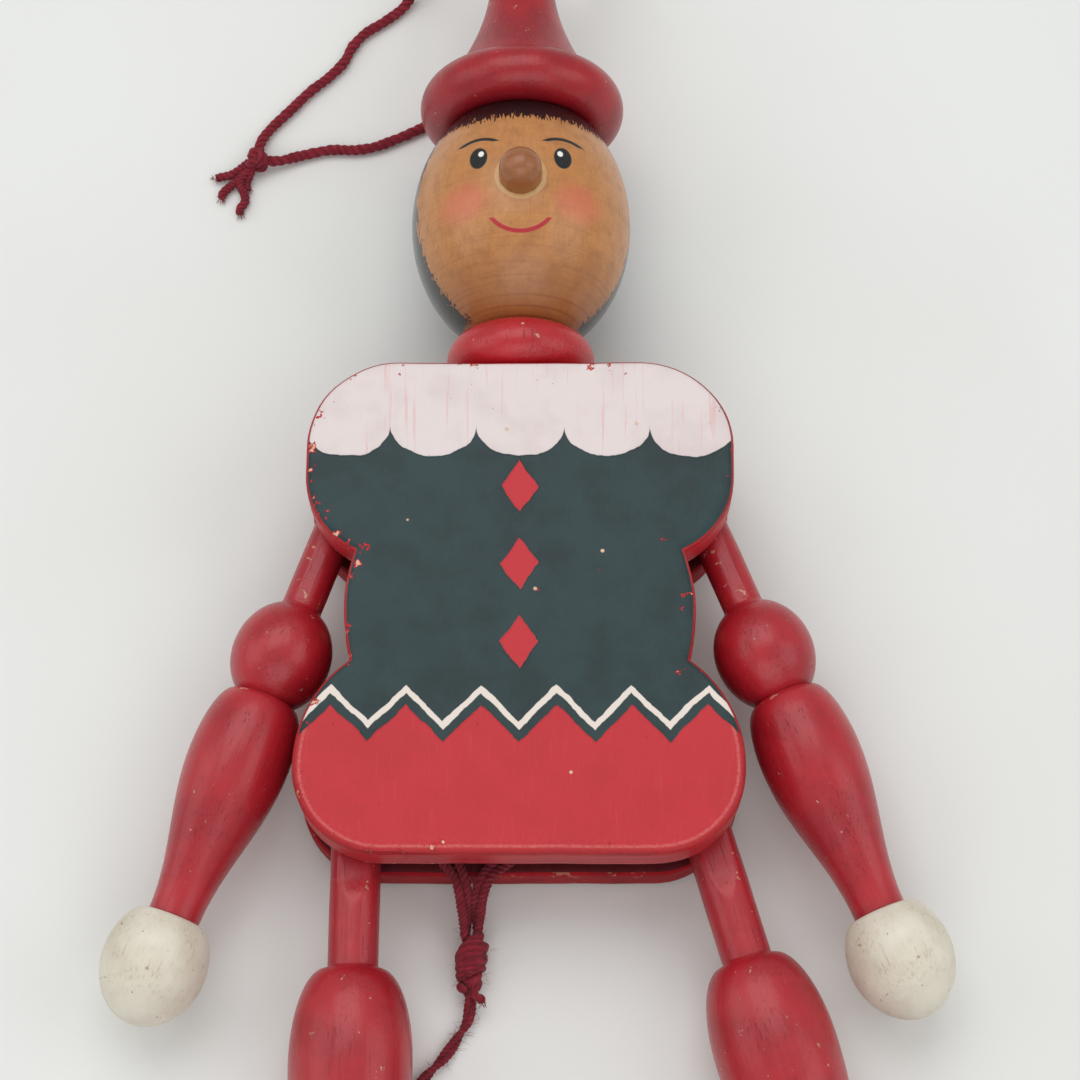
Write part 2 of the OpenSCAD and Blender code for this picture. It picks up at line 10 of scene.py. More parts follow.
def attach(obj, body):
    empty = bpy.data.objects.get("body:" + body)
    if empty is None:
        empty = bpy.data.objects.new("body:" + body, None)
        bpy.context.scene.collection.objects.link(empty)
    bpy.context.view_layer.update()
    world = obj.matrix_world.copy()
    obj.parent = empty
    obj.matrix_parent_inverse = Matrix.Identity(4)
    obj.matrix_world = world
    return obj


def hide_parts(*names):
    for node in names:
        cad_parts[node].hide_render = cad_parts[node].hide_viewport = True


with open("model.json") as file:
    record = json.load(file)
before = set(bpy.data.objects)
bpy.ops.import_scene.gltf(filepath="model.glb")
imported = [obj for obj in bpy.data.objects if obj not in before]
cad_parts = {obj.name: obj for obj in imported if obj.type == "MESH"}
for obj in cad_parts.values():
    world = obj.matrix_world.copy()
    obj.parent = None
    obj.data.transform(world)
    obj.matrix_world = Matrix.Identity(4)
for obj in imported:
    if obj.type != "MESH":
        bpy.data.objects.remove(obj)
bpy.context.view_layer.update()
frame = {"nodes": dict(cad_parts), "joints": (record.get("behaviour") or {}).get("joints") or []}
scene = bpy.context.scene
mm = 0.001
print("frame loaded:", len(frame["nodes"]), "nodes")


# The figure's own axes: x to the viewer's right, y to the head, z out of the chest
joints = {joint["name"]: joint for joint in frame["joints"]}
zAxis = Vector(joints["shoulder_right"]["axis"]).normalized()
xAxis = Vector((1, 0, 0))
yAxis = zAxis.cross(xAxis)
shoulderMid = (Vector(joints["shoulder_left"]["pos_m"]) + Vector(joints["shoulder_right"]["pos_m"])) / 2
waist = shoulderMid - yAxis * 31 * mm
figure = Matrix.Translation(waist) @ Matrix((xAxis, yAxis, zAxis)).transposed().to_4x4()
plan = Matrix.Translation((waist.x, waist.y, 0))
sides = {"left": -1, "right": 1}


def onPlan(x, y, z):  # a point of the figure, seen from the ground under the waist
    world = figure @ (Vector((x, y, z)) * mm)
    return (world - plan.translation) / mm


def groundUnder(y):  # height of the ground in the figure's own axes
    return -(waist.z / mm + y * yAxis.z) / yAxis.y


def onPin(x, y, angle):  # a limb's own axes: its pin at the origin, its far end down -y
    return figure @ Matrix.Translation((x * mm, y * mm, 0)) @ Matrix.Rotation(radians(angle), 4, "Z")


# Camera at the photograph's angle
viewer = {"lens": 80, "place": (0.00223, -0.1822, 0.44496), "tip": 23.93}
cameraData = bpy.data.cameras.new("photoCamera")
cameraData.lens = viewer["lens"]
cameraData.sensor_width = 36
cameraData.clip_start = 0.01
cameraData.clip_end = 20
camera = bpy.data.objects.new("photoCamera", cameraData)
camera.location = viewer["place"]
camera.rotation_euler = (radians(viewer["tip"]), 0, 0)
scene.collection.objects.link(camera)
scene.camera = camera


def tint(red, green, blue):  # screen colour to the colour a shader takes
    def line(value):
        share = value / 255
        return share / 12.92 if share <= 0.04045 else ((share + 0.055) / 1.055) ** 2.4
    return (line(red), line(green), line(blue), 1)


class Val:  # a shader value that Python can reckon with
    def __init__(self, finish, socket):
        self.finish = finish
        self.socket = socket

    def math(self, operation, *others):
        return self.finish.node("ShaderNodeMath", {"operation": operation}, dict(enumerate((self,) + others)))

    def __add__(self, other):
        return self.math("ADD", other)

    def __sub__(self, other):
        return self.math("SUBTRACT", other)

    def __rsub__(self, other):
        return self.finish.node("ShaderNodeMath", {"operation": "SUBTRACT"}, {0: other, 1: self})

    def __mul__(self, other):
        return self.math("MULTIPLY", other)

    def __truediv__(self, other):
        return self.math("DIVIDE", other)

    def __abs__(self):
        return self.math("ABSOLUTE")

    def most(self, other):
        return self.math("MAXIMUM", other)

    def fract(self):
        return self.math("FRACT")

    def root(self):
        return self.most(0.0).math("SQRT")

    __radd__ = __add__
    __rmul__ = __mul__


class Finish:  # one material and its nodes
    def __init__(self, name):
        self.material = bpy.data.materials.new(name)
        self.material.use_nodes = True
        self.tree = self.material.node_tree
        self.shader = self.tree.nodes["Principled BSDF"]

    def feed(self, socket, value):
        if isinstance(value, Val):
            self.tree.links.new(value.socket, socket)
        else:
            socket.default_value = value

    def node(self, kind, settings=None, sockets=None, out=0):
        made = self.tree.nodes.new(kind)
        for key, value in (settings or {}).items():
            setattr(made, key, value)
        for key, value in (sockets or {}).items():
            self.feed(made.inputs[key], value)
        if isinstance(out, tuple):
            return tuple(Val(self, made.outputs[key]) for key in out)
        return Val(self, made.outputs[out])

    def place(self):  # the piece's own coordinates in millimetres
        raw = self.node("ShaderNodeTexCoord", out="Object")
        return self.stretch(raw, 1000, 1000, 1000)

    def stretch(self, vector, x, y, z):
        return self.node("ShaderNodeVectorMath", {"operation": "MULTIPLY"}, {0: vector, 1: (x, y, z)})

    def shift(self, vector, other):
        return self.node("ShaderNodeVectorMath", {"operation": "ADD"}, {0: vector, 1: other})

    def split(self, vector):
        return self.node("ShaderNodeSeparateXYZ", None, {0: vector}, ("X", "Y", "Z"))

    def join(self, x, y, z):
        return self.node("ShaderNodeCombineXYZ", None, {0: x, 1: y, 2: z})

    def mark(self, name, out="Fac"):
        return self.node("ShaderNodeAttribute", {"attribute_name": name}, None, out)

    def cloud(self, vector, scale, detail=2.0, rough=0.5, out="Fac"):
        sockets = {"Vector": vector, "Scale": scale, "Detail": detail, "Roughness": rough}
        return self.node("ShaderNodeTexNoise", None, sockets, out)

    def cells(self, vector, scale):
        sockets = {"Vector": vector, "Scale": scale}
        return self.node("ShaderNodeTexVoronoi", None, sockets, ("Distance", "Color"))

    def ease(self, value, low, high):  # 0 below low, 1 above high, smooth between
        sockets = {"Value": value, "From Min": low, "From Max": high}
        return self.node("ShaderNodeMapRange", {"interpolation_type": "SMOOTHSTEP"}, sockets)

    def blend(self, share, first, second):
        settings = {"data_type": "RGBA", "clamp_factor": True}
        return self.node("ShaderNodeMix", settings, {0: share, 6: first, 7: second}, 2)

    def dots(self, vector, scale, size, bare):  # scattered specks: size in cell widths, bare cells have none
        distance, shade = self.cells(vector, scale)
        chance = self.split(shade)[0]
        return (1 - self.ease(distance, size * 0.6, size)) * self.ease(chance, bare, bare + 0.02)

    def bump(self, height, distance, strength=1.0):  # height 1 stands up by distance, in millimetres
        sockets = {"Height": height, "Distance": distance * mm, "Strength": strength}
        return self.node("ShaderNodeBump", None, sockets)

    def finish(self, colour, roughness, normal=None, fixed=None):
        self.feed(self.shader.inputs["Base Color"], colour)
        self.feed(self.shader.inputs["Roughness"], roughness)
        if normal is not None:
            self.feed(self.shader.inputs["Normal"], normal)
        for key, value in (fixed or {}).items():
            self.feed(self.shader.inputs[key], value)
        return self.material


# Meshes are worked out in millimetres and stored in metres
def makeMesh(name, points, faces, marks=None, sharp=None):
    mesh = bpy.data.meshes.new(name)
    mesh.from_pydata([Vector(point) * mm for point in points], [], faces)
    work = bmesh.new()
    work.from_mesh(mesh)
    bmesh.ops.recalc_face_normals(work, faces=work.faces)
    work.to_mesh(mesh)
    work.free()
    mesh.polygons.foreach_set("use_smooth", [True] * len(mesh.polygons))
    if sharp:
        mesh.set_sharp_from_angle(angle=radians(sharp))
    for key, values in (marks or {}).items():
        if isinstance(values[0], (int, float)):
            mesh.attributes.new(key, "FLOAT", "POINT").data.foreach_set("value", values)
        else:
            flat = [number for value in values for number in value]
            mesh.attributes.new(key, "FLOAT_VECTOR", "POINT").data.foreach_set("vector", flat)
    mesh.update()
    return mesh


def addPiece(name, mesh, material, body, place=figure, stands=()):
    piece = bpy.data.objects.new(name, mesh)
    scene.collection.objects.link(piece)
    piece.matrix_world = place
    mesh.materials.append(material)
    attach(piece, body)
    if stands:
        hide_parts(*stands)
    return piece


def bridge(rings, closed=True):  # quads between rings of equal length, with a face over each end
    count = len(rings[0])
    points = [point for ring in rings for point in ring]
    faces = []
    for row in range(len(rings) - 1):
        for k in range(count):
            a = row * count + k
            b = row * count + (k + 1) % count
            faces.append((a, b, b + count, a + count))
    if closed:
        faces.append(tuple(reversed(range(count))))
        last = (len(rings) - 1) * count
        faces.append(tuple(range(last, last + count)))
    return points, faces


def lathe(profile, axis="y", around=96, sway=0.0, seed=0.0):  # profile: radius and distance along the axis
    rings = []
    for radius, along in profile:
        ring = []
        for k in range(around):
            turn = 2 * pi * k / around
            spot = Vector((cos(turn) * 0.9, sin(turn) * 0.9 + seed, along * 0.05))
            grown = max(radius + sway * noise.noise(spot) * min(1, radius / 3), 0.02)
            a = grown * cos(turn)
            b = grown * sin(turn)
            ring.append({"x": (along, a, b), "y": (a, along, b), "z": (a, b, along)}[axis])
        rings.append(ring)
    return bridge(rings)


def arc(cx, cy, r, start, end, steps):  # points of a round profile, angles in degrees
    turns = [radians(start + (end - start) * i / steps) for i in range(steps + 1)]
    return [(cx + r * cos(turn), cy + r * sin(turn)) for turn in turns]


def mix(a, b, share):
    return a + (b - a) * share


# Yarn: plies twisted round a route
def smoothRoute(points, step):
    way = [Vector(point) for point in points]
    way = [way[0] * 2 - way[1]] + way + [way[-1] * 2 - way[-2]]
    dense = []
    for i in range(1, len(way) - 2):
        p, q, r, s = way[i - 1:i + 3]
        parts = max(2, ceil((r - q).length / (step * 0.5)))
        for k in range(parts):
            t = k / parts
            dense.append(0.5 * (2 * q + (r - p) * t + (2 * p - 5 * q + 4 * r - s) * t * t
                                + (3 * q - p - 3 * r + s) * t * t * t))
    dense.append(way[-2])
    even = [dense[0]]
    left = step
    for a, b in zip(dense, dense[1:]):
        gap = (b - a).length
        while gap >= left:
            a = a.lerp(b, left / gap)
            even.append(a)
            gap -= left
            left = step
        left -= gap
    if (dense[-1] - even[-1]).length > step * 0.3:
        even.append(dense[-1])
    return even


def routeLength(points):
    return sum((b - a).length for a, b in zip(points, points[1:]))


def routeFrames(points):  # tangent, side and rise at each point, turned as little as possible
    tangents = []
    for i in range(len(points)):
        tangents.append((points[min(i + 1, len(points) - 1)] - points[max(i - 1, 0)]).normalized())
    side = tangents[0].orthogonal().normalized()
    frames = []
    for tangent in tangents:
        side = (side - tangent * side.dot(tangent)).normalized()
        frames.append((tangent, side, tangent.cross(side)))
    return frames


def beside(point, frame, radius, turn):  # a point off a route, turned round it
    return point + frame[1] * (radius * cos(turn)) + frame[2] * (radius * sin(turn))


def strandRoutes(points, count, offset, pitch, phase):  # routes of strands laid round one route
    frames = routeFrames(points)
    routes = [[] for _ in range(count)]
    along = 0.0
    for i, point in enumerate(points):
        if i:
            along += (point - points[i - 1]).length
        for k in range(count):
            turn = phase + 2 * pi * (k / count + along / pitch)
            routes[k].append(beside(point, frames[i], offset, turn))
    return routes


def plyTube(points, wide, pitch, seed, plies=3, around=8, tip=0.55):  # one strand as a lobed tube
    frames = routeFrames(points)
    plyR = wide * 0.262
    plyOut = wide / 2 - plyR
    rings = []
    lay = []
    along = 0.0
    total = routeLength(points)
    for i, point in enumerate(points):
        if i:
            along += (point - points[i - 1]).length
        swell = 1 + 0.14 * noise.noise(Vector((along * 0.35, seed, 0)))
        drift = 1.5 * noise.noise(Vector((along * 0.16, seed, 4.0)))
        ends = min(along, total - along) / (wide * 0.5)
        if ends < 1:
            swell *= mix(tip, 1, sqrt(max(0, 1 - (1 - ends) ** 2)))
        ring = []
        for k in range(plies * around):
            ply = k // around
            lean = (k % around + 0.5) / around * 2 - 1
            swing = lean * pi / plies
            radius = plyOut * cos(swing) + sqrt(max(plyR ** 2 - (plyOut * sin(swing)) ** 2, 0.0))
            radius = mix(radius, wide * 0.46, 0.42) * swell
            turn = 2 * pi * ((ply + 0.5 + lean / 2) / plies + along / pitch) + drift
            ring.append(beside(point, frames[i], radius, turn))
            lay.append((lean, along, ply + seed))
        rings.append(ring)
    shape, faces = bridge(rings)
    return shape, faces, lay


def joinParts(parts):  # several meshes as one
    points = []
    faces = []
    lay = []
    for part in parts:
        base = len(points)
        points += part[0]
        faces += [tuple(index + base for index in face) for face in part[1]]
        lay += part[2]
    return points, faces, lay


def fuzzHairs(points, wide, perMm, long, seed, floorAt):  # loose fibres that stand out of a yarn
    dice = random.Random(seed)
    frames = routeFrames(points)
    parts = []
    count = int(routeLength(points) * perMm)
    for _ in range(count):
        i = dice.randrange(1, len(points) - 1)
        tangent, side, rise = frames[i]
        turn = dice.uniform(0, 2 * pi)
        out = side * cos(turn) + rise * sin(turn)
        flow = (out * dice.uniform(0.5, 1) + tangent * dice.uniform(-1, 1)).normalized()
        bend = Vector((dice.uniform(-1, 1), dice.uniform(-1, 1), dice.uniform(-1, 0.6))) * 0.8
        reach = long * dice.uniform(0.35, 1)
        spot = points[i] + out * wide * 0.4
        path = []
        for _ in range(5):
            path.append(spot.copy())
            spot = spot + flow * reach / 4
            flow = (flow + bend * 0.3).normalized()
            spot.z = max(spot.z, floorAt(spot))
        parts.append(hair(path, dice.uniform(0.025, 0.045)))
    return joinParts(parts)


def hair(path, thick):
    frames = routeFrames(path)
    rings = []
    lay = []
    for i, point in enumerate(path):
        size = thick * (1 - 0.75 * i / (len(path) - 1))
        ring = []
        for k in range(3):
            turn = 2 * pi * k / 3
            ring.append(beside(point, frames[i], size, turn))
            lay.append((0.0, i * 0.3, 7.0))
        rings.append(ring)
    shape, faces = bridge(rings)
    return shape, faces, lay


def frayedTip(start, flow, wide, long, count, seed, floorAt):  # the open fibres at a cut end
    dice = random.Random(seed)
    parts = []
    flow = Vector(flow).normalized()
    for _ in range(count):
        out = Vector((dice.uniform(-1, 1), dice.uniform(-1, 1), dice.uniform(-1, 1)))
        spot = Vector(start) + out * wide * 0.3
        aim = (flow + out * 0.55).normalized()
        path = []
        for _ in range(4):
            path.append(spot.copy())
            spot = spot + aim * long * dice.uniform(0.5, 1) / 3
            spot.z = max(spot.z, floorAt(spot))
            aim = (aim + out * 0.15).normalized()
        parts.append(hair(path, dice.uniform(0.07, 0.12)))
    return joinParts(parts)


def flatFloor(spot):  # just above the ground, for cords that lie on it
    return 0.12


def leanFloor(spot):  # the same in the leaning figure's axes
    return groundUnder(spot.y) + 0.12


# Yarn finish: fibres along each ply, with painted shade in the grooves
yarnLook = {"deep": tint(66, 10, 20), "plain": tint(130, 26, 42), "light": tint(166, 54, 68)}


def yarnFinish(name, look):
    f = Finish(name)
    lean, along, ply = f.split(f.mark("lay", "Vector"))
    fibre = f.cloud(f.join(lean * 1.3 + along * 0.55, along * 0.16, ply * 3.1), 4.5, 3.0, 0.6)
    wool = f.cloud(f.place(), 0.55, 2.0)
    grooveDepthAndShade = f.ease(abs(lean), 0.35, 1.0)
    colour = f.blend(f.ease(fibre, 0.3, 0.75), look["plain"], look["light"])
    colour = f.blend(f.ease(wool, 0.35, 0.75) * 0.35, colour, look["deep"])
    # The grooves between the plies are darkened as painted shade.
    colour = f.blend(grooveDepthAndShade * 0.5, colour, look["deep"])
    height = fibre * 1.3 - grooveDepthAndShade * 0.3
    fixed = {"Sheen Weight": 0.1, "Sheen Roughness": 0.5, "Specular IOR Level": 0.15}
    return f.finish(colour, 0.88 - fibre * 0.1, f.bump(height, 0.16), fixed)


yarn = yarnFinish("burgundyYarn", yarnLook)


def yarnPiece(name, parts, body, place, stands=()):
    points, faces, lay = joinParts(parts)
    mesh = makeMesh(name, points, faces, {"lay": lay})
    return addPiece(name, mesh, yarn, body, place, stands)


def declareCord(points):
    path = [plan @ (point * mm) for point in points]
    routeLength(path)


# Hanging loop: two stretches from the hat's knob to the knot
loop = {
    "wide": 2.4, "pitch": 5.0, "hair": 1.5, "knobY": 156.832,
    "left": [(-13, 157, 26), (-17.5, 157.8, 23), (-20.5, 159, 17), (-22.2, 160, 10), (-23.6, 160.2, 4.6),
             (-25.2, 158.6, 1.9), (-27.2, 155.8, 1.3), (-31, 152.4, 1.3), (-35.2, 149.2, 1.3),
             (-38, 145.4, 1.3), (-39.6, 141.6, 1.3), (-42.8, 137.6, 1.3), (-47, 133.6, 1.3),
             (-51.2, 128.6, 1.3), (-54.8, 124.4, 1.3), (-56.8, 120.8, 1.7), (-57.4, 117.2, 2.6)],
    "right": [(-55.6, 115, 2.6), (-52.6, 115.4, 2), (-48.4, 117, 1.4), (-42, 118.6, 1.3), (-36.6, 118.6, 1.3),
              (-32.2, 119.4, 1.3), (-28, 121.2, 1.3), (-23.6, 123.4, 1.3), (-17, 127.4, 1.3),
              (-11.6, 133, 1.3), (-7.6, 139.4, 1.3), (-4.6, 146, 1.3), (-2.4, 152, 1.3), (0.4, 158.6, 1.3),
              (4.4, 164, 1.3), (9.4, 167.2, 1.7), (14.6, 167.4, 4), (18.4, 165.4, 8.6), (20, 162.2, 14.6),
              (19.4, 159.2, 20), (16.8, 157.4, 24), (13, 157, 26)],
    "knotAt": (-57.5, 114.8, 3.2),
}
leftRoute = smoothRoute([onPlan(-7.2, loop["knobY"], 0), onPlan(-9, loop["knobY"], 0)] + loop["left"], 0.3)
rightEnds = [onPlan(9, loop["knobY"], 0), onPlan(7.2, loop["knobY"], 0)]
rightRoute = smoothRoute(list(reversed(loop["right"] + rightEnds)), 0.3)


def trefoil(centre, size, steps, turn=0.0, roll=0.0):  # an overhand knot's run
    run = []
    for i in range(steps + 1):
        t = roll + 2 * pi * i / steps * 0.96
        x = (sin(t) + 2 * sin(2 * t)) * size[0]
        y = (cos(t) - 2 * cos(2 * t)) * size[1]
        z = -sin(3 * t) * size[2]
        run.append(Vector(centre) + Vector((x * cos(turn) - y * sin(turn), x * sin(turn) + y * cos(turn), z)))
    return run


for side, route in (("left", leftRoute), ("right", rightRoute)):
    tube = plyTube(route, loop["wide"], loop["pitch"], 1.0 if side == "left" else 2.0)
    yarnPiece("hangingLoop_" + side, [tube], "torso", plan, ("hanging_loop",))

knotTails = {
    "upper": [(-58.6, 114.8, 3), (-60.8, 113.4, 2.2), (-63, 112.2, 1.5), (-65, 111.8, 1.3),
              (-66.4, 111.4, 1.2)],
    "lower": [(-59.2, 113.6, 2.2), (-61, 111.4, 1.5), (-63.2, 109.4, 1.1), (-64.6, 107.8, 1.1),
              (-65, 106.4, 1.1)],
    "kinked": [(-58.6, 113.2, 2.4), (-60.4, 111.4, 1.5), (-61, 109.8, 1.1), (-60.1, 107.6, 1),
               (-59.8, 105.7, 1), (-60.8, 103.8, 1.1), (-60.7, 102.6, 1.1)],
    "short": [(-58, 113.4, 2.8), (-58.8, 111.6, 1.8), (-59.4, 110.2, 1.2), (-59.2, 108.6, 1.1)],
}
knotRun = smoothRoute(trefoil(loop["knotAt"], (0.62, 0.58, 1.35), 40, radians(65)), 0.3)
secondRun = smoothRoute(trefoil((-57.3, 115.1, 3.4), (0.5, 0.44, 1.1), 40, radians(10), 1.2), 0.3)
knotParts = [plyTube(knotRun, 2.15, 3.8, 3.0), plyTube(secondRun, 1.9, 3.6, 4.0)]
for number, (key, tail) in enumerate(knotTails.items()):
    tailRun = smoothRoute(tail, 0.25)
    wide = 1.4 if key == "short" else 2.1
    knotParts.append(plyTube(tailRun, wide, 3.2, 5.0 + number, tip=0.8))
    flow = tailRun[-1] - tailRun[-3]
    knotParts.append(frayedTip(tailRun[-1], flow, wide, 1.1, 16, 40 + number, flatFloor))
loopKnot = yarnPiece("loopKnot", knotParts, "torso", plan, ("loop_knot",))
loopFuzz = yarnPiece("loopFuzz", [
    fuzzHairs(leftRoute, loop["wide"], 1.6, loop["hair"], 11, flatFloor),
    fuzzHairs(rightRoute, loop["wide"], 1.6, loop["hair"], 12, flatFloor),
    fuzzHairs(knotRun, 2.2, 2.5, 1.2, 13, flatFloor)], "torso", plan)
declareCord(leftRoute)
declareCord(rightRoute)
print("hanging loop: %.0f and %.0f mm" % (routeLength(leftRoute), routeLength(rightRoute)))


# Pull cord: strands out of the gap, the gather knot, a doubled tail, the bead and its stop knot
pull = {
    "wide": 2.4, "gatherX": -9, "gatherY": -62, "gatherD": 6.4, "gatherLong": 9, "lift": 0.5,
    "tail": [(-9.4, -71.4, 1.9), (-11, -74.6, 1.3), (-14, -79, 1.3), (-17.6, -83, 1.3), (-20, -87.6, 1.3),
             (-20.6, -93, 1.3), (-19, -98.6, 1.3), (-16, -103.8, 1.3), (-12.6, -108.6, 1.3),
             (-9.8, -113.6, 1.3), (-8, -118.6, 1.6), (-7.2, -123, 3.2), (-7, -127, 5.4), (-7, -130.4, 6.6)],
    "bead": (-7, -138, 6.8), "beadD": 13, "beadHole": 3, "tailEnd": (-7, -144.5, 6.8), "stopY": -146.85,
}
gatherZ = groundUnder(pull["gatherY"]) + pull["gatherD"] / 2 + pull["lift"]
gatherSpot = Vector((pull["gatherX"], pull["gatherY"], gatherZ))
tailStart = onPlan(pull["gatherX"], pull["gatherY"] - pull["gatherLong"] / 2 - 0.05, gatherZ)
tailRoute = smoothRoute([tailStart] + pull["tail"] + [pull["bead"], pull["tailEnd"]], 0.3)
tailTubes = []
for number, run in enumerate(strandRoutes(tailRoute, 2, 0.52, 17.0, 0.6)):
    tailTubes.append(plyTube(run, 1.42, 2.9, 20.0 + number, around=7))
pullCord = yarnPiece("pullCord", tailTubes, "pull_cord", plan, ("pull_cord",))

strings = {"wide": 1.7, "show": 1.95, "pitch": 3.1, "z": -2.75, "low": -44, "part": 0.6, "clear": 0.75,
           "stepTop": 3.0, "stepEnd": 1.75, "branch": 2.4, "tops": {-1: -13.3, 1: -2.5}, "boardLow": -47}


def strandRoute(side, kind):  # from inside the gap to the gather knot, kind 1 for a leg and -1 for an arm
    top = strings["low"] - strings["part"]
    end = pull["gatherY"] + pull["gatherLong"] / 2 + 0.3
    leave = strings["boardLow"] - strings["clear"]
    branchTop = strings["tops"][side]
    run = []
    for i in range(25):
        s = i / 24
        y = mix(top, end, s)
        ease = 1 - (1 - s) ** 4
        free = max(0, (leave - y) / (leave - end))
        fall = free * free * (3 - 2 * free)
        turn = pi * 0.5 * free
        half = mix(strings["stepTop"], strings["stepEnd"], min(1, (top - y) / (top - leave))) / 2
        midX = mix(branchTop, pull["gatherX"] + side * strings["branch"] / 2, ease)
        run.append((midX + kind * side * half * cos(turn), y,
                    mix(strings["z"], gatherZ, fall) + kind * half * sin(turn)))
    run.append((gatherSpot.x + side * 0.8, end - 1.2, run[-1][2] * 0.7 + gatherZ * 0.3))
    return run


endParts = []
for side in (-1, 1):
    for kind in (-1, 1):
        run = smoothRoute(strandRoute(side, kind), 0.25)
        seed = 24.0 + side + kind * 2
        endParts.append(plyTube(run, strings["show"], strings["pitch"], seed, around=7))
        endParts.append(fuzzHairs(run, strings["wide"], 3.4, 1.9, int(seed), leanFloor))
stringEnds = yarnPiece("stringEnds", endParts, "pull_cord", figure, ("string_ends",))


def wrapRun(turns, radius, top, low, slant, bulge):  # slanted wraps down the knot
    run = []
    steps = int(turns * 24)
    for i in range(steps + 1):
        s = i / steps
        turn = 2 * pi * turns * s + 0.7
        wide = radius * (1 + bulge * max(0, cos(turn - 0.3)) * (1 - s) - 0.12 * s)
        lean = slant * cos(turn - 0.2) * (1 - 0.5 * s)
        run.append(gatherSpot + Vector((wide * cos(turn), mix(top, low, s) + lean, wide * sin(turn))))
    return run


gatherRuns = {
    "wraps": smoothRoute(wrapRun(2.7, 1.95, 2.7, -2.5, 1.75, 0.2), 0.25),
    "thin wrap": smoothRoute(wrapRun(3.2, 2.5, 2.9, -2.9, 1.7, 0.2), 0.25),
    "core": smoothRoute([gatherSpot + Vector((0.2, y, z)) for y, z in (
        (4.4, 0.1), (2, -0.1), (0, 0.1), (-2, -0.1), (-4, 0.1), (-5.2, -0.1))], 0.3),
    "low knot": smoothRoute(trefoil(gatherSpot + Vector((-0.2, -5.0, 0)), (0.62, 0.44, 1.2), 40, 0.3), 0.25),
    "nub": smoothRoute([gatherSpot + Vector(p) for p in (
        (0.2, -6.0, 0.6), (1.1, -6.9, 1.0), (1.8, -7.2, 1.0), (2.2, -7.9, 0.7))], 0.25),
    "hairs": smoothRoute(wrapRun(3.2, 2.6, 2.9, -5.0, 1.7, 0.2), 0.25),
}
gatherKnot = yarnPiece("gatherKnot", [
    plyTube(gatherRuns["wraps"], 2.6, 8.5, 31.0, 5, 6),
    plyTube(gatherRuns["thin wrap"], 1.2, 4.0, 38.0, around=6),
    plyTube(gatherRuns["core"], 3.9, 8.0, 32.0),
    plyTube(gatherRuns["low knot"], 1.7, 3.4, 33.0, around=7),
    plyTube(gatherRuns["nub"], 1.8, 3.0, 34.0, around=7, tip=0.8),
    frayedTip(gatherRuns["nub"][-1], (0.3, -1, 0), 1.4, 0.9, 12, 50, leanFloor),
    fuzzHairs(gatherRuns["hairs"], 1.2, 2.6, 2.0, 15, leanFloor)], "pull_cord", figure, ("gather_knot",))

stopRun = smoothRoute(trefoil((-7, pull["stopY"], 6.8), (0.5, 0.46, 1.3), 40, pi / 2), 0.25)
stopTail = smoothRoute([(-7.4, -148.2, 6.2), (-7.8, -150, 4.6), (-8.2, -151, 2.8), (-8.6, -152, 1.6)], 0.25)
beadKnot = yarnPiece("beadKnot", [
    plyTube(stopRun, 1.75, 3.6, 36.0),
    plyTube(stopTail, 1.3, 3.0, 37.0, tip=0.8),
    frayedTip(stopTail[-1], (-0.3, -0.6, -0.6), 1.3, 1.0, 14, 51, flatFloor),
], "pull_cord", plan, ("bead_knot",))
tailHairs = fuzzHairs(tailRoute[:-60], pull["wide"], 3.6, 2.3, 14, flatFloor)
pullFuzz = yarnPiece("pullFuzz", [tailHairs], "pull_cord", plan)
print("pull cord: %.0f mm" % routeLength(tailRoute))


# Turned and painted wood: brush streaks, dust, scratches, chips down to the pale wood
def paintedWood(name, look):
    f = Finish(name)
    spot = f.place()
    along = f.stretch(spot, 1.0, 0.06, 1.0)
    streak = f.cloud(along, 1.6, 3.0, 0.6)
    grain = f.cloud(f.stretch(spot, 1.0, 0.035, 1.0), 3.4, 4.0, 0.65)
    patch = f.cloud(f.shift(spot, (21, 13, 4)), 0.09, 3.0, 0.55)
    fine = f.cloud(spot, 2.4, 3.0, 0.6)
    colour = f.blend(f.ease(patch, 0.3, 0.72), look["plain"], look["deep"])
    colour = f.blend(f.ease(streak, 0.45, 0.8) * look["streaks"], colour, look["light"])
    line = f.ease(grain, 0.59, 0.68) * f.ease(patch, 0.3, 0.6)
    colour = f.blend(line * look["lines"], colour, look["line"])
    dust = f.dots(spot, 0.55, 0.1, look["dust"])
    pale = f.dots(f.shift(spot, (3.1, 7.7, 1.3)), 0.28, 0.11, look["chips"])
    scrape = f.cloud(f.stretch(f.shift(spot, (9, 4, 2)), 0.55, 0.05, 0.55), 1.1, 4.0, 0.7)
    scratch = f.ease(scrape, look["scratch"], look["scratch"] + 0.03) * f.ease(fine, 0.42, 0.6)
    zone = f.ease(f.cloud(f.shift(spot, (17, 5, 8)), 0.06, 2.0), 0.5, 0.66)
    flake = f.cloud(spot, 0.5, 4.0, 0.65) + f.mark("edge") * zone * 0.14
    bare = (f.ease(flake, 0.68, 0.7) * look["edgeWear"]).most(pale)
    colour = f.blend(scratch * 0.5, colour, look["light"])
    colour = f.blend(dust * 0.75, colour, look["dirt"])
    colour = f.blend(bare, colour, look["wood"])
    # The boards' inner faces are darkened as painted shade in the gap between the boards.
    colour = f.blend(f.ease(f.mark("inner"), 0.3, 0.7), colour, look["darkTone"])
    rough = look["rough"] + (patch - 0.5) * 0.16 + scratch * 0.2 + bare * 0.25 + (fine - 0.5) * 0.1
    peel = f.cloud(spot, 0.9, 3.0, 0.55)
    height = streak * 0.14 + grain * look["grain"] + peel * 0.45 + fine * 0.16
    height = height - bare * 0.9 - scratch * 0.4 - line * 0.5
    fixed = {"Coat Weight": look["coat"], "Coat Roughness": 0.2, "Specular IOR Level": look["gloss"]}
    return f.finish(colour, rough, f.bump(height, 0.15), fixed)
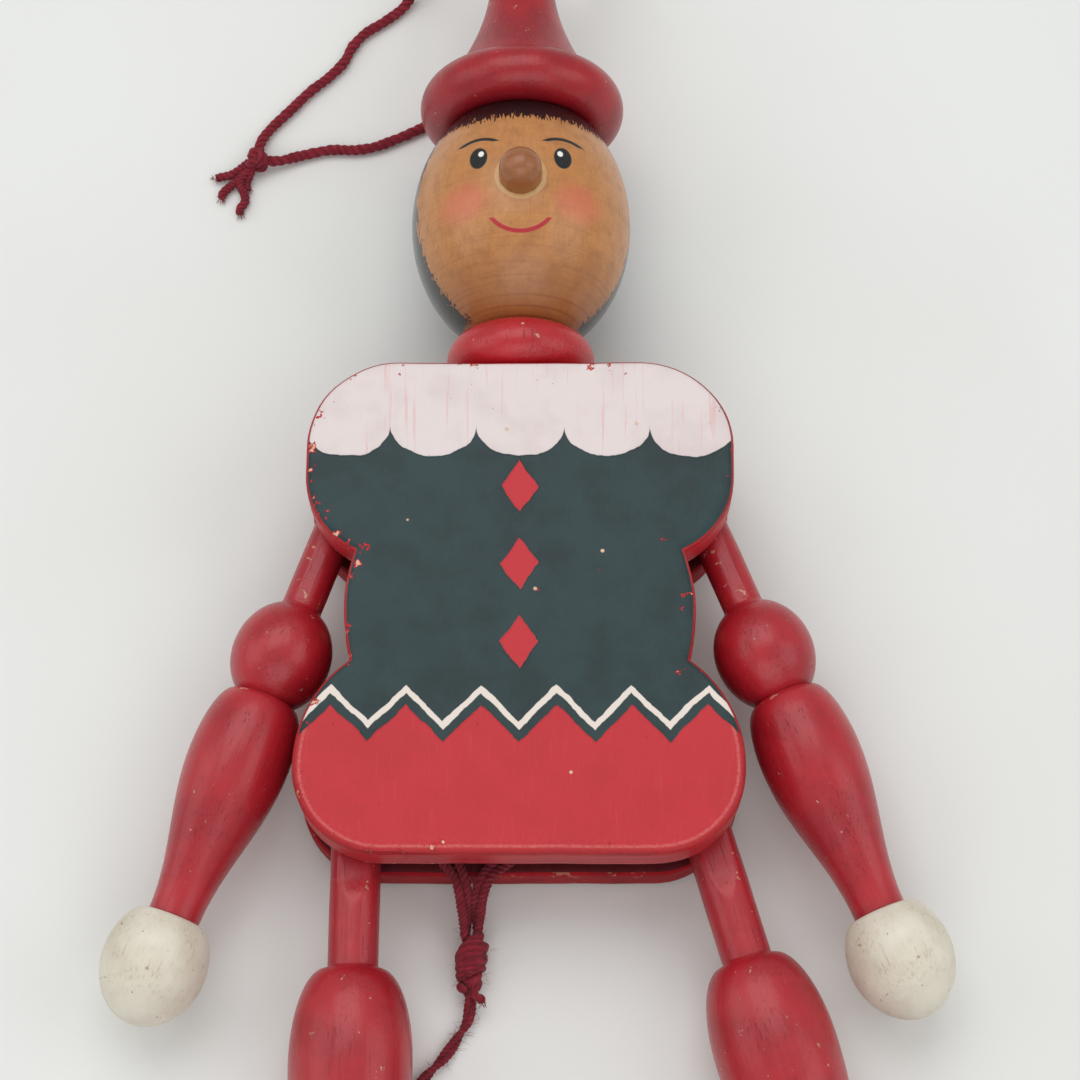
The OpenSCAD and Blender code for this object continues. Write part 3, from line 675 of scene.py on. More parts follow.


# The darkest red marks the saw lines and is painted shade on the boards' inner faces.
redPaint = {"plain": tint(176, 32, 43), "deep": tint(154, 22, 35), "light": tint(192, 66, 74),
            "dirt": tint(226, 170, 160), "wood": tint(214, 168, 140), "streaks": 0.14, "dust": 0.9,
            "chips": 0.94, "scratch": 0.69, "edgeWear": 0.6, "rough": 0.35, "grain": 0.3, "coat": 0.3,
            "darkTone": tint(84, 20, 27), "line": tint(112, 12, 24), "lines": 0.3, "gloss": 0.4}
limbPaint = paintedWood("limbPaint", redPaint)
ringPaint = paintedWood("ringPaint", dict(
    redPaint, plain=tint(190, 32, 42), deep=tint(172, 24, 34), chips=0.97))
hatPaint = paintedWood("hatPaint", dict(
    redPaint, plain=tint(162, 18, 30), deep=tint(138, 13, 26), rough=0.34, coat=0.25, chips=0.96))
beadPaint = paintedWood("beadPaint", dict(redPaint, plain=tint(172, 24, 34)))
handPaint = paintedWood("handPaint", dict(
    redPaint, plain=tint(225, 219, 203), deep=tint(206, 196, 176), light=tint(234, 230, 218),
    line=tint(170, 150, 122), lines=0.2, dirt=tint(92, 74, 58), wood=tint(150, 118, 84),
    dust=0.72, chips=0.82, rough=0.5, coat=0.05, grain=0.7))
shoePaint = paintedWood("shoePaint", dict(
    redPaint, plain=tint(42, 32, 27), deep=tint(26, 20, 17), light=tint(74, 60, 52), dirt=tint(150, 130, 112),
    line=tint(14, 11, 10), rough=0.38, coat=0.2))
print("painted finishes ready")


# Arms: stem, elbow ball with forearm, hand
arms = {"rest": {"left": 19.7, "right": 21.6}, "x": 32.4, "y": 31, "stemD": 7.8, "lever": 13, "elbowAt": 39,
        "elbowD": 19, "elbowLong": 22, "neckD": 13.3, "forearmFrom": 48.755, "dome": 11.5, "forearmD": 19,
        "wristD": 9.8, "wristAt": 92.5, "handD": 19.4, "handLong": 23.4, "handAt": 101.1, "runOut": 1.0}
stemCut = {"flat": 3.7, "thin": 1.5, "thinBelow": 4, "tipPast": 3, "seat": 6}


def stemMesh(name, spec, reach, flatTo):  # a dowel planed flat, with a thin end for the string
    wide = spec["stemD"]
    runOut = spec["runOut"]
    radius = wide / 2
    flat = stemCut["flat"]
    thin = stemCut["thin"]
    step = -stemCut["thinBelow"]
    tip = spec["lever"] + stemCut["tipPast"]
    levels = [(tip, thin, 0.75), (tip - 0.35, thin, 0.93), (tip - 1, thin, 1)]
    levels += [(mix(tip - 1, step, i / 8), thin, 1) for i in range(1, 9)]
    levels += [(step - 0.02, flat - 0.3, 0.97), (step - 0.4, flat, 1)]
    levels += [(mix(step - 0.4, -flatTo, i / 16), flat, 1) for i in range(1, 17)]
    for i in range(1, 13):
        levels.append((-flatTo - runOut * i / 12, mix(flat, radius, (1 - cos(pi * i / 12)) / 2), 1))
    levels += [(-mix(flatTo + runOut, reach, 0.5), radius, 1), (-reach, radius, 1)]
    rings = []
    edge = []
    for y, clip, grow in levels:
        ring = []
        for k in range(48):
            turn = 2 * pi * k / 48
            x = radius * grow * cos(turn)
            z = radius * grow * sin(turn)
            x += 0.07 * noise.noise(Vector((x * 0.4, y * 0.16, z * 0.4 + wide)))
            ring.append((x, y, max(-clip, min(clip, z))))
            corner = max(0, 1 - abs(abs(z) - clip) / 0.7)
            edge.append(corner * 0.8 if clip < radius else 0.0)
        rings.append(ring)
    points, faces = bridge(rings)
    return makeMesh(name, points, faces, {"edge": edge}, 40)


def latheMesh(name, profile, seed, sway=0.12, axis="y", around=96, worn=(), sharp=38):
    points, faces = lathe(profile, axis, around, sway, seed)
    index = {"x": 0, "y": 1, "z": 2}[axis]
    edge = [0.0] * len(points)
    for place, reach in worn:
        for i, point in enumerate(points):
            edge[i] = max(edge[i], 1 - abs(point[index] - place) / reach)
    return makeMesh(name, points, faces, {"edge": edge}, sharp)


def armProfile(spec):
    ball = spec["elbowD"] / 2
    half = spec["elbowLong"] / 2
    stem = spec["stemD"] / 2
    first = degrees(asin((stem + 1.1) / ball))
    top = spec["elbowAt"] - half * cos(radians(first))
    line = [(stem - 0.3, spec["elbowAt"] - 7), (stem + 0.02, top - 1.15), (stem + 0.12, top - 0.8),
            (stem + 0.38, top - 0.45), (stem + 0.72, top - 0.2)]
    low = spec["forearmFrom"]
    neck = spec["neckD"] / 2 - 0.65
    last = 180 - degrees(asin(neck / ball))
    for i in range(41):
        turn = radians(mix(first, last, i / 40))
        line.append((ball * sin(turn), spec["elbowAt"] - half * cos(turn)))
    line += [(neck - 0.4, low - 0.75), (neck - 0.3, low - 0.6)]
    for i in range(25):
        turn = pi / 2 * i / 24
        line.append((mix(neck, spec["forearmD"] / 2, sin(turn)),
                     low - 0.55 + (spec["dome"] + 0.67) * (1 - cos(turn))))
    domeEnd = low + spec["dome"]
    for i in range(1, 41):
        s = i / 40
        line.append((mix(spec["forearmD"], spec["wristD"], (1 - cos(pi * s)) / 2) / 2,
                     mix(domeEnd + 0.12, spec["wristAt"] - 0.25, s)))
    line.append((spec["wristD"] / 2 - 0.3, spec["wristAt"]))
    return [(radius, -along) for radius, along in line]


def handProfile(spec):
    radius = spec["handD"] / 2
    half = spec["handLong"] / 2
    start = degrees(acos((spec["handAt"] - spec["wristAt"]) / half))
    seat = -spec["wristAt"] - 0.05
    line = [(spec["wristD"] / 2 - 0.9, seat), (radius * sin(radians(start)) - 0.5, seat)]
    for i in range(49):
        turn = radians(mix(start + 2, 179.2, i / 48))
        line.append((radius * sin(turn), -spec["handAt"] - 0.05 + half * cos(turn)))
    return line


for side, sign in sides.items():
    spot = onPin(sign * arms["x"], arms["y"], sign * arms["rest"][side])
    mouth = arms["elbowAt"] - arms["elbowLong"] / 2 * sqrt(1 - (arms["stemD"] / arms["elbowD"]) ** 2)
    body = "arm_" + side
    stem = stemMesh("armStem_" + side, arms, mouth + stemCut["seat"], mouth - 1.5)
    addPiece("armStem_" + side, stem, limbPaint, body, spot, ("arm_stem_" + side,))
    arm = latheMesh("arm_" + side, armProfile(arms), 3.0 + sign, 0.16, worn=((-arms["forearmFrom"], 0.8),))
    addPiece("turnedArm_" + side, arm, limbPaint, body, spot, ("arm_" + side,))
    hand = latheMesh("hand_" + side, handProfile(arms), 6.0 + sign, 0.14)
    addPiece("ballHand_" + side, hand, handPaint, body, spot, ("hand_" + side,))


# Legs: stem, turned calf, shoe
legs = {"rest": {"left": 0.0, "right": 16.0}, "x": 30.3, "y": -24, "stemD": 9.3, "lever": 12, "calfAt": 41.5,
        "startD": 10.3, "dome": 17, "calfD": 22.4, "ankleD": 12, "ankleAt": 106, "flatTo": 24.5, "runOut": 6,
        "heelAt": 112, "soleAt": 118.5, "shoeW": 18, "toeD": 19, "toeZ": 13.5}


def legProfile(spec):
    stem = spec["stemD"] / 2
    line = [(stem - 0.3, spec["calfAt"] + stemCut["seat"]), (stem + 0.02, spec["calfAt"] - 0.5),
            (stem + 0.12, spec["calfAt"] - 0.25), (stem + 0.3, spec["calfAt"] - 0.02)]
    for i in range(33):
        turn = pi / 2 * i / 32
        line.append((mix(spec["startD"] / 2, spec["calfD"] / 2, sin(turn)),
                     spec["calfAt"] + spec["dome"] * (1 - cos(turn))))
    domeEnd = spec["calfAt"] + spec["dome"]
    for i in range(1, 41):
        s = i / 40
        line.append((mix(spec["calfD"], spec["ankleD"], (1 - cos(pi * s)) / 2) / 2,
                     mix(domeEnd, spec["ankleAt"] - 0.1, s)))
    line.append((spec["ankleD"] / 2 - 0.4, spec["ankleAt"]))
    return [(radius, -along) for radius, along in line]


def shoeRing(spec, y, inset):  # a stadium of two circles, heel behind and toe in front
    lift = -y - spec["heelAt"]
    heel = sqrt(max((spec["shoeW"] / 2) ** 2 - lift ** 2, 0.01)) - inset
    toe = sqrt(max((spec["toeD"] / 2) ** 2 - lift ** 2, 0.01)) - inset
    tilt = asin((toe - heel) / spec["toeZ"])
    ring = []
    for i in range(25):
        turn = mix(-tilt, pi + tilt, i / 24)
        ring.append((toe * cos(turn), y, spec["toeZ"] + toe * sin(turn)))
    for i in range(25):
        turn = mix(pi + tilt, 2 * pi - tilt, i / 24)
        ring.append((heel * cos(turn), y, heel * sin(turn)))
    return ring


def shoeMesh(name, spec):
    top = -spec["ankleAt"] - 0.05
    sole = -spec["soleAt"]
    levels = [(top, 2.2), (top, 0.9), (top - 0.25, 0.35), (top - 0.8, 0.0)]
    levels += [(mix(top - 0.8, sole + 0.9, i / 14), 0.0) for i in range(1, 15)]
    levels += [(sole + 0.4, 0.12), (sole + 0.1, 0.42), (sole, 0.9), (sole, 2.2)]
    rings = [shoeRing(spec, y, inset) for y, inset in levels]
    points, faces = bridge(rings)
    edge = [max(0, 1 - min(abs(p[1] - top), abs(p[1] - sole)) / 1.0) * 0.8 for p in points]
    return makeMesh(name, points, faces, {"edge": edge}, 45)


for side, sign in sides.items():
    spot = onPin(sign * legs["x"], legs["y"], sign * legs["rest"][side])
    body = "leg_" + side
    stem = stemMesh("legStem_" + side, legs, legs["calfAt"] + stemCut["seat"], legs["flatTo"])
    addPiece("legStem_" + side, stem, limbPaint, body, spot, ("leg_stem_" + side,))
    leg = latheMesh("leg_" + side, legProfile(legs), 9.0 + sign, 0.16)
    addPiece("turnedLeg_" + side, leg, limbPaint, body, spot, ("leg_" + side,))
    shoe = shoeMesh("shoe_" + side, legs)
    addPiece("woodShoe_" + side, shoe, shoePaint, body, spot, ("shoe_" + side,))
print("limbs done")


# Boards: one sawn outline, rounded edges, the front one with a painted tunic
boards = {"inner": 4, "outer": 13, "round": 1.3, "top": 50.5, "low": -47,
          "shoulder": {"x": 23.5, "yUp": 33, "yDown": 27, "r": 17.5}, "waist": {"x": -7, "r": 40},
          "hipTop": {"x": 17.5, "y": -29.5, "r": 24}, "hipLow": {"x": 25, "y": -30.5, "r": 16.5}}


def meeting(ax, ay, ar, bx, by, br):  # where two circles cross, the point with the greater x
    gap = sqrt((bx - ax) ** 2 + (by - ay) ** 2)
    along = (ar ** 2 - br ** 2 + gap ** 2) / (2 * gap)
    out = sqrt(ar ** 2 - along ** 2)
    mx = ax + (bx - ax) * along / gap
    my = ay + (by - ay) * along / gap
    first = (mx + out * (by - ay) / gap, my - out * (bx - ax) / gap)
    second = (mx - out * (by - ay) / gap, my + out * (bx - ax) / gap)
    return max(first, second)


def spread(ax, ay, r, start, end, steps):  # arc between two points, shorter way round
    a = Vector((start[0] - ax, start[1] - ay)).angle_signed(Vector((1, 0)))
    b = Vector((end[0] - ax, end[1] - ay)).angle_signed(Vector((1, 0)))
    return arc(ax, ay, r, degrees(a), degrees(b), steps)


def boardOutline(inset):  # the right half, bottom to top, then its mirror image
    parts = [boards[key] for key in ("shoulder", "waist", "hipTop", "hipLow")]
    shoulder, middle, hip, corner = parts
    shoulderR, middleR, hipR, cornerR = [part["r"] - inset for part in parts]
    notchLow = meeting(middle["x"], 0, middleR, hip["x"], hip["y"], hipR)
    notchUp = meeting(middle["x"], 0, middleR, shoulder["x"], shoulder["yDown"], shoulderR)
    hipOut = (hip["x"] + hipR, hip["y"])
    shoulderOut = (shoulder["x"] + shoulderR, shoulder["yDown"])
    low = boards["low"] + inset
    top = boards["top"] - inset
    half = [(corner["x"] * i / 10, low) for i in range(10)]
    half += arc(corner["x"], corner["y"], cornerR, -90, 0, 16)
    half += spread(hip["x"], hip["y"], hipR, hipOut, notchLow, 20)
    half += spread(middle["x"], 0, middleR, notchLow, notchUp, 12)[1:]
    half += spread(shoulder["x"], shoulder["yDown"], shoulderR, notchUp, shoulderOut, 12)[1:]
    half += arc(shoulder["x"], shoulder["yUp"], shoulderR, 0, 90, 16)
    half += [(shoulder["x"] * (1 - i / 10), top) for i in range(1, 11)]
    return half + [(-x, y) for x, y in reversed(half[1:-1])]


def boardMesh(name, zLow, zHigh, seed, innerZ):
    outer = boardOutline(0.0)
    shake = [0.22 * noise.noise(Vector((x * 0.11, y * 0.11, seed))) for x, y in outer]
    r = boards["round"]
    turns = (pi / 2, pi * 0.36, pi * 0.22, pi * 0.08)
    flats = [(6.5, 0.0), (4.2, 0.12), (2.6, 0.5)]
    levels = [(zLow, inset, wear) for inset, wear in flats]  # height, inset and wear of each ring
    levels += [(zLow + r * (1 - sin(turn)), r * (1 - cos(turn)), 1.0) for turn in turns]
    levels += [(zLow + r * 1.6, 0.0, 0.55), (mix(zLow, zHigh, 0.36), 0.0, 0.2)]
    levels += [(mix(zLow, zHigh, 0.64), 0.0, 0.2), (zHigh - r * 1.6, 0.0, 0.55)]
    levels += [(zHigh - r * (1 - sin(turn)), r * (1 - cos(turn)), 1.0) for turn in reversed(turns)]
    levels += [(zHigh, inset, wear) for inset, wear in reversed(flats)]
    rings = []
    edge = []
    face = []
    inner = []
    rim = []
    for z, inset, wear in levels:
        ring = []
        for k, (x, y) in enumerate(boardOutline(inset)):
            size = sqrt(x * x + y * y)
            ring.append((x + shake[k] * x / size, y + shake[k] * y / size, z))
            edge.append(wear)
            face.append(1.0 if z > zHigh - 0.2 * r else 0.0)
            inner.append(1.0 if abs(z - innerZ) < 0.3 * r else 0.0)
            rim.append(1.0 if z == zHigh and abs(inset - r) < 0.01 else 0.0)
        rings.append(ring)
    points, faces = bridge(rings)
    return makeMesh(name, points, faces, {"edge": edge, "face": face, "inner": inner, "rim": rim}, 50)


tunic = {
    "white": tint(222, 211, 209), "whiteDeep": tint(208, 192, 192), "green": tint(30, 55, 57),
    "greenDeep": tint(22, 43, 46), "greenLight": tint(60, 82, 84), "red": tint(191, 36, 46),
    "redDeep": tint(178, 29, 39), "mottle": 0.5, "pink": tint(224, 128, 124), "wood": tint(222, 186, 158),
    "cream": tint(228, 216, 206), "dirt": tint(88, 62, 56), "redEdge": tint(158, 16, 24),
    "yokeLow": 36.5, "scallopWide": 16.6, "scallopDeep": 6.0, "hemY": -19.0, "hemWide": 13.9, "hemDeep": 7.0,
    "trimUp": 3.0, "trimHalf": 0.75, "lozengeWide": 7.2, "lozengeHigh": 10.4, "lozengeStep": 15.5,
    "lozengeLow": 14.5, "lozengeRows": 3,
}


def tunicPaint(name, look):
    f = Finish(name)
    spot = f.place()
    drift = f.cloud(spot, 0.16, 3.0, 0.6, "Color")
    offset = f.stretch(f.shift(drift, (-0.5, -0.5, -0.5)), 1.5, 1.5, 0)
    x, y = f.split(f.shift(spot, offset))[:2]
    face = f.ease(f.mark("face"), 0.3, 0.7)
    u = abs((x / look["scallopWide"] + 0.5).fract() * 2 - 1)
    yokeEdge = look["yokeLow"] - look["scallopDeep"] * (1 - u * u).root()
    yokeIn = y - yokeEdge
    zig = abs((x / look["hemWide"] + 0.5).fract() * 2 - 1)
    hemIn = y - (look["hemY"] - look["hemDeep"] * (1 - zig))
    trimIn = look["trimHalf"] - abs(hemIn - look["trimUp"])
    row = abs(((y + look["lozengeLow"]) / look["lozengeStep"]).fract() * 2 - 1) * (look["lozengeStep"] / 2)
    rowsLow = -look["lozengeLow"]
    rowsTop = rowsLow + look["lozengeStep"] * look["lozengeRows"]
    inRows = f.ease(y, rowsLow - 0.1, rowsLow + 0.1) * (1 - f.ease(y, rowsTop - 0.1, rowsTop + 0.1))
    lozengeIn = 1 - abs(x) / (look["lozengeWide"] / 2) - row / (look["lozengeHigh"] / 2)
    lozengeIn = lozengeIn * 3.0 - (1 - inRows) * 20
    fine = f.cloud(spot, 1.7, 4.0, 0.65)
    broad = f.cloud(spot, 0.12, 3.0, 0.55)
    grain = f.cloud(f.stretch(spot, 1.0, 0.05, 1.0), 2.6, 4.0, 0.65)
    greenMask = f.ease(hemIn, -0.12, 0.12) * face
    whiteMask = f.ease(yokeIn, -0.12, 0.12) * face
    lozengeMask = f.ease(lozengeIn, -0.12, 0.12) * face
    trimMask = f.ease(trimIn, -0.1, 0.1) * face
    red = f.blend(f.ease(broad, 0.35, 0.7) * look["mottle"], look["red"], look["redDeep"])
    red = f.blend(f.ease(grain, 0.58, 0.8) * 0.15, red, look["pink"])
    green = f.blend(f.ease(broad, 0.35, 0.68), look["green"], look["greenDeep"])
    green = f.blend(f.ease(fine, 0.56, 0.76) * 0.3, green, look["greenLight"])
    white = f.blend(f.ease(broad, 0.4, 0.75) * 0.6, look["white"], look["whiteDeep"])
    crack = f.ease(f.cloud(f.stretch(spot, 1.0, 0.03, 1.0), 1.5, 3.0, 0.6), 0.6, 0.68)
    white = f.blend(crack * 0.3, white, look["pink"])
    colour = f.blend(greenMask, red, green)
    colour = f.blend(trimMask, colour, look["cream"])
    colour = f.blend(lozengeMask, colour, look["red"])
    colour = f.blend(whiteMask, colour, white)
    flake = f.cloud(spot, 0.5, 3.0, 0.6)
    zone = f.ease(f.cloud(f.shift(spot, (31, 12, 5)), 0.055, 2.0) - x * 0.0035, 0.52, 0.66)
    worn = flake + f.mark("edge") * (0.07 + zone * 0.13)
    chip = f.ease(worn, 0.74, 0.76)
    deepChip = f.ease(worn, 0.8, 0.815)
    square = f.dots(f.shift(spot, (2.2, 5.1, 0.7)), 0.16, 0.075, 0.8)
    speck = f.dots(f.shift(spot, (7.2, 1.1, 0.7)), 0.5, 0.07, 0.86)
    colour = f.blend(chip, colour, red)
    colour = f.blend((deepChip * 0.9).most(square), colour, look["wood"])
    colour = f.blend(speck * 0.7, colour, look["dirt"])
    rub = f.mark("edge") * f.ease(fine, 0.45, 0.7) * 0.12
    colour = f.blend(rub * (1 - greenMask), colour, look["pink"])
    rim = f.mark("rim")
    rounding = f.ease(f.mark("edge"), 0.93, 0.99) * (1 - f.ease(rim, 0.2, 0.5)) * (1 - greenMask)
    colour = f.blend(rounding * 0.6, colour, look["redEdge"])
    # The pink line just inside the face's rim is a painted highlight; under it the raised paint lip is a real
    # bump.
    lip = f.ease(rim, 0.55, 0.9) * (0.5 + f.ease(fine, 0.35, 0.55) * 0.5) * (1 - greenMask)
    colour = f.blend(lip * 0.4, colour, look["pink"])
    # The inner face is darkened as painted shade in the gap between the boards.
    paintedGapShade = f.ease(f.mark("inner"), 0.3, 0.7)
    sawn = f.ease(f.cloud(f.stretch(spot, 0.06, 0.06, 1.3), 1.0, 3.0, 0.6), 0.48, 0.62) * (1 - face)
    colour = f.blend(sawn * 0.3, colour, redPaint["darkTone"])
    colour = f.blend(paintedGapShade, colour, redPaint["darkTone"])
    ridge = (1 - f.ease(abs(hemIn), 0.0, 0.45)) + (1 - f.ease(abs(yokeIn), 0.0, 0.45))
    ridge = (ridge + (1 - f.ease(abs(lozengeIn), 0.0, 0.4))) * face
    height = greenMask * 0.25 + whiteMask * 0.3 + lozengeMask * 0.2 + trimMask * 0.2 + ridge * 0.45
    height = height + grain * 0.32 + fine * 0.1 - chip * 0.6 - deepChip * 0.5 - square * 0.6
    height = height + lip * 0.5 - sawn * 0.6
    rough = 0.46 + (fine - 0.5) * 0.18 + whiteMask * 0.1 + chip * 0.2 - ridge * 0.08
    fixed = {"Specular IOR Level": 0.35, "Coat Weight": 0.06, "Coat Roughness": 0.35}
    return f.finish(colour, rough, f.bump(height, 0.16), fixed)


boardPaint = tunicPaint("tunicPaint", tunic)
# The back board is the limbs' red paint made darker as painted shade; it is also rougher and less glossy.
backPaintWithShade = paintedWood("backPaintWithShade", dict(
    redPaint, plain=tint(158, 19, 29), deep=tint(138, 14, 24), rough=0.55, edgeWear=0.3, scratch=0.68,
    chips=0.95, coat=0.0, gloss=0.1))
frontMesh = boardMesh("frontBoard", boards["inner"], boards["outer"], 2.0, boards["inner"])
addPiece("frontBoard", frontMesh, boardPaint, "torso", figure, ("front_board",))
backMesh = boardMesh("backBoard", -boards["outer"], -boards["inner"], 5.0, -boards["inner"])
addPiece("backBoard", backMesh, backPaintWithShade, "torso", figure, ("back_board",))
print("boards done")


# Neck ring, head, nose and hat
neckRing = {"d": 29.6, "high": 10.5, "bore": 7.2}


def ringProfile(spec):
    low = boards["top"]
    half = spec["high"] / 2
    out = spec["d"] / 2 - half
    bore = spec["bore"] / 2
    line = [(bore, low), (out, low)]
    line += arc(out, low + half, half, -88, 88, 28)
    return line + [(out, low + 2 * half), (bore, low + 2 * half)]


ring = latheMesh("neckRing", ringProfile(neckRing), 12.0, 0.1)
addPiece("neckRing", ring, ringPaint, "torso", figure, ("neck_ring",))

head = {"d": 44.6, "high": 56, "seatD": 19, "topOver": 24, "y": 86.332, "bore": 7.2}
wood = {"plain": tint(184, 121, 64), "light": tint(206, 148, 86), "deep": tint(134, 76, 38),
        "pore": tint(104, 60, 30), "hair": tint(20, 19, 20), "lip": tint(176, 40, 46),
        "cheek": tint(206, 104, 78), "eye": tint(16, 15, 16), "glue": tint(220, 190, 132),
        "glint": tint(244, 242, 236)}


def eggProfile(spec):
    half = spec["high"] / 2
    bore = spec["bore"] / 2
    seat = half * sqrt(1 - (spec["seatD"] / spec["d"]) ** 2)
    line = [(bore, spec["y"] - seat)]
    for i in range(61):
        offset = mix(-seat, spec["topOver"], i / 60)
        line.append((spec["d"] / 2 * sqrt(1 - (offset / half) ** 2), spec["y"] + offset))
    return line + [(bore, spec["y"] + spec["topOver"])]


def varnishedWood(name, look, face):
    f = Finish(name)
    spot = f.place()
    x, y, z = f.split(f.shift(spot, (0, -head["y"], 0)))
    waver = f.stretch(f.cloud(spot, 0.06, 2.0, 0.5, "Color"), 9, 3, 9)
    layer = f.cloud(f.stretch(f.shift(spot, waver), 0.62, 0.02, 0.62), 1.0, 3.0, 0.5)
    band = abs((layer * 5.0).fract() * 2 - 1)
    pore = f.ease(f.cloud(f.stretch(spot, 2.2, 0.16, 2.2), 1.5, 3.0, 0.6), 0.62, 0.74)
    mottle = f.cloud(spot, 0.3, 4.0, 0.6)
    turnLine = f.cloud(f.stretch(spot, 0.02, 1.9, 0.02), 1.0, 3.0, 0.7)
    low = 1 - f.ease(y, -25, -8)
    colour = f.blend(f.ease(band, 0.1, 0.9) * 0.22 + mottle * 0.25, look["plain"], look["light"])
    colour = f.blend(f.ease(mottle, 0.4, 0.75) * 0.4, colour, look["deep"])
    colour = f.blend(f.ease(turnLine, 0.48, 0.7) * (0.15 + low * 0.6), colour, look["deep"])
    colour = f.blend(pore * 0.5, colour, look["pore"])
    # The lower part of the head is darkened towards the chin as painted shade.
    colour = f.blend(low * 0.6, colour, look["deep"])
    height = band * 0.12 - pore * 0.35 + turnLine * (0.1 + low * 0.3) + mottle * 0.1
    rough = 0.36 + (mottle - 0.5) * 0.16 + pore * 0.12
    if face:
        ahead = f.ease(z, 2, 4)
        side = abs(x)

        def oval(cx, cy, rx, ry, soft):
            dx = (side - cx) / rx
            dy = (y - cy) / ry
            return (1 - f.ease((dx * dx + dy * dy).root(), 1 - soft, 1 + soft)) * ahead

        def bow(cx, cy, radius, half, low, high):  # part of a thin ring, between two heights
            dx = side - cx
            dy = y - cy
            far = abs((dx * dx + dy * dy).root() - radius)
            inside = f.ease(y, low, low + 0.3) * (1 - f.ease(y, high - 0.3, high))
            return (1 - f.ease(far, half - 0.12, half + 0.12)) * inside * ahead

        cheek = oval(11.2, -4.4, 4.2, 3.6, 0.55) * (0.4 + mottle * 0.4)
        eye = oval(8.3, 4.6, 1.75, 2.5, 0.07)
        glint = oval(7.8, 5.5, 0.55, 0.65, 0.2)
        brow = bow(8.4, 2.5, 6.8, 0.38, 8.1, 12)
        smile = bow(0, -4.2, 7.2, 0.42, -13, -8.4)
        brush = f.cloud(f.stretch(spot, 2.4, 0.2, 1.2), 1.0, 3.0, 0.6)
        back = 4.6 - x * 0.14 - z + (brush - 0.5) * 8.0 + f.ease(y, 2, 16) * 2.5
        fringe = y - 15.0 + (f.cloud(f.stretch(spot, 3.0, 0.12, 1.0), 1.0, 2.0, 0.5) - 0.5) * 7.0
        hairMask = f.ease(back.most(fringe), -0.2, 0.2) * f.ease(y, -24.5, -23.5)
        fromNose = (x * x + y * y).root()
        glue = (1 - f.ease(abs(fromNose - 4.7 - (mottle - 0.5) * 1.2), 0.25, 0.6)) * ahead
        colour = f.blend(glue * 0.45, colour, look["glue"])
        colour = f.blend(cheek, colour, look["cheek"])
        colour = f.blend(smile, colour, look["lip"])
        colour = f.blend(eye.most(brow), colour, look["eye"])
        colour = f.blend(glint, colour, look["glint"])
        colour = f.blend(hairMask, colour, look["hair"])
        paint = hairMask.most(eye).most(brow).most(smile)
        height = height * (1 - hairMask * 0.7) + paint * 0.5 + brush * hairMask * 0.4
        rough = rough - paint * 0.12
    fixed = {"Coat Weight": 0.35, "Coat Roughness": 0.2, "Specular IOR Level": 0.45}
    return f.finish(colour, rough, f.bump(height, 0.1), fixed)


headVarnish = varnishedWood("headVarnish", wood, True)
noseWood = dict(wood, plain=tint(172, 108, 58), light=tint(194, 132, 76))
noseVarnish = varnishedWood("noseVarnish", noseWood, False)
egg = latheMesh("head", eggProfile(head), 15.0, 0.12, around=128)
addPiece("turnedHead", egg, headVarnish, "torso", figure, ("head",))

nose = {"d": 8.4, "long": 6.5, "seat": 0.9}


def noseProfile(spec):
    root = head["d"] / 2 - spec["seat"]
    radius = spec["d"] / 2
    tip = root + spec["seat"] + spec["long"]
    line = [(radius - 0.5, root - 0.6), (radius, root), (radius, mix(root, tip - radius, 0.5))]
    for i in range(21):
        turn = radians(mix(90, 1, i / 20))
        line.append((radius * sin(turn), tip - radius + radius * cos(turn)))
    return line


nosePlace = figure @ Matrix.Translation((0, head["y"] * mm, 0))
button = latheMesh("nose", noseProfile(nose), 18.0, 0.06, "z", 48)
addPiece("buttonNose", button, noseVarnish, "torso", nosePlace, ("nose",))

hatSize = {"over": 27, "brimD": 42.2, "roll": 11.2, "crownD": 30.8, "neckD": 13.2, "crownH": 27, "power": 1.9,
           "knobAt": 43.5, "knobD": 18, "holeD": 3.2, "rimD": 19.2, "rimDip": 2.4}


def hatProfile(spec):
    base = head["y"] + spec["over"]
    tube = spec["roll"] / 2
    mid = spec["brimD"] / 2 - tube
    line = [(spec["rimD"] / 2, base - spec["rimDip"])] + arc(mid, base, tube, 200, 449, 48)
    for i in range(1, 37):
        up = i / 36
        wide = spec["neckD"] + (spec["crownD"] - spec["neckD"]) * (1 - up) ** spec["power"]
        line.append((wide / 2, base + tube + spec["crownH"] * up))
    knob = spec["knobD"] / 2
    start = degrees(asin(spec["neckD"] / spec["knobD"]))
    for i in range(31):
        turn = radians(mix(180 - start, 0.6, i / 30))
        line.append((knob * sin(turn), base + spec["knobAt"] + knob * cos(turn)))
    return line


hatMesh = latheMesh("hat", hatProfile(hatSize), 21.0, 0.14)
hat = addPiece("turnedHat", hatMesh, hatPaint, "torso", figure, ("hat",))


def drill(piece, cutterMesh, place):  # cuts a hole and keeps the result as the mesh
    cutter = bpy.data.objects.new("drill", cutterMesh)
    scene.collection.objects.link(cutter)
    cutter.matrix_world = place
    cut = piece.modifiers.new("hole", "BOOLEAN")
    cut.object = cutter
    cut.operation = "DIFFERENCE"
    cut.solver = "EXACT"
    bpy.context.view_layer.update()
    graph = bpy.context.evaluated_depsgraph_get()
    made = bpy.data.meshes.new_from_object(piece.evaluated_get(graph))
    piece.modifiers.clear()
    piece.data = made
    bpy.data.objects.remove(cutter)


holeLine = [(hatSize["holeD"] / 2, -12), (hatSize["holeD"] / 2, 12)]
holePoints, holeFaces = lathe(holeLine, "x", 32)
holePlace = figure @ Matrix.Translation((0, loop["knobY"] * mm, 0))
drill(hat, makeMesh("drill", holePoints, holeFaces), holePlace)
hat.data.set_sharp_from_angle(angle=radians(38))
print("head and hat done")


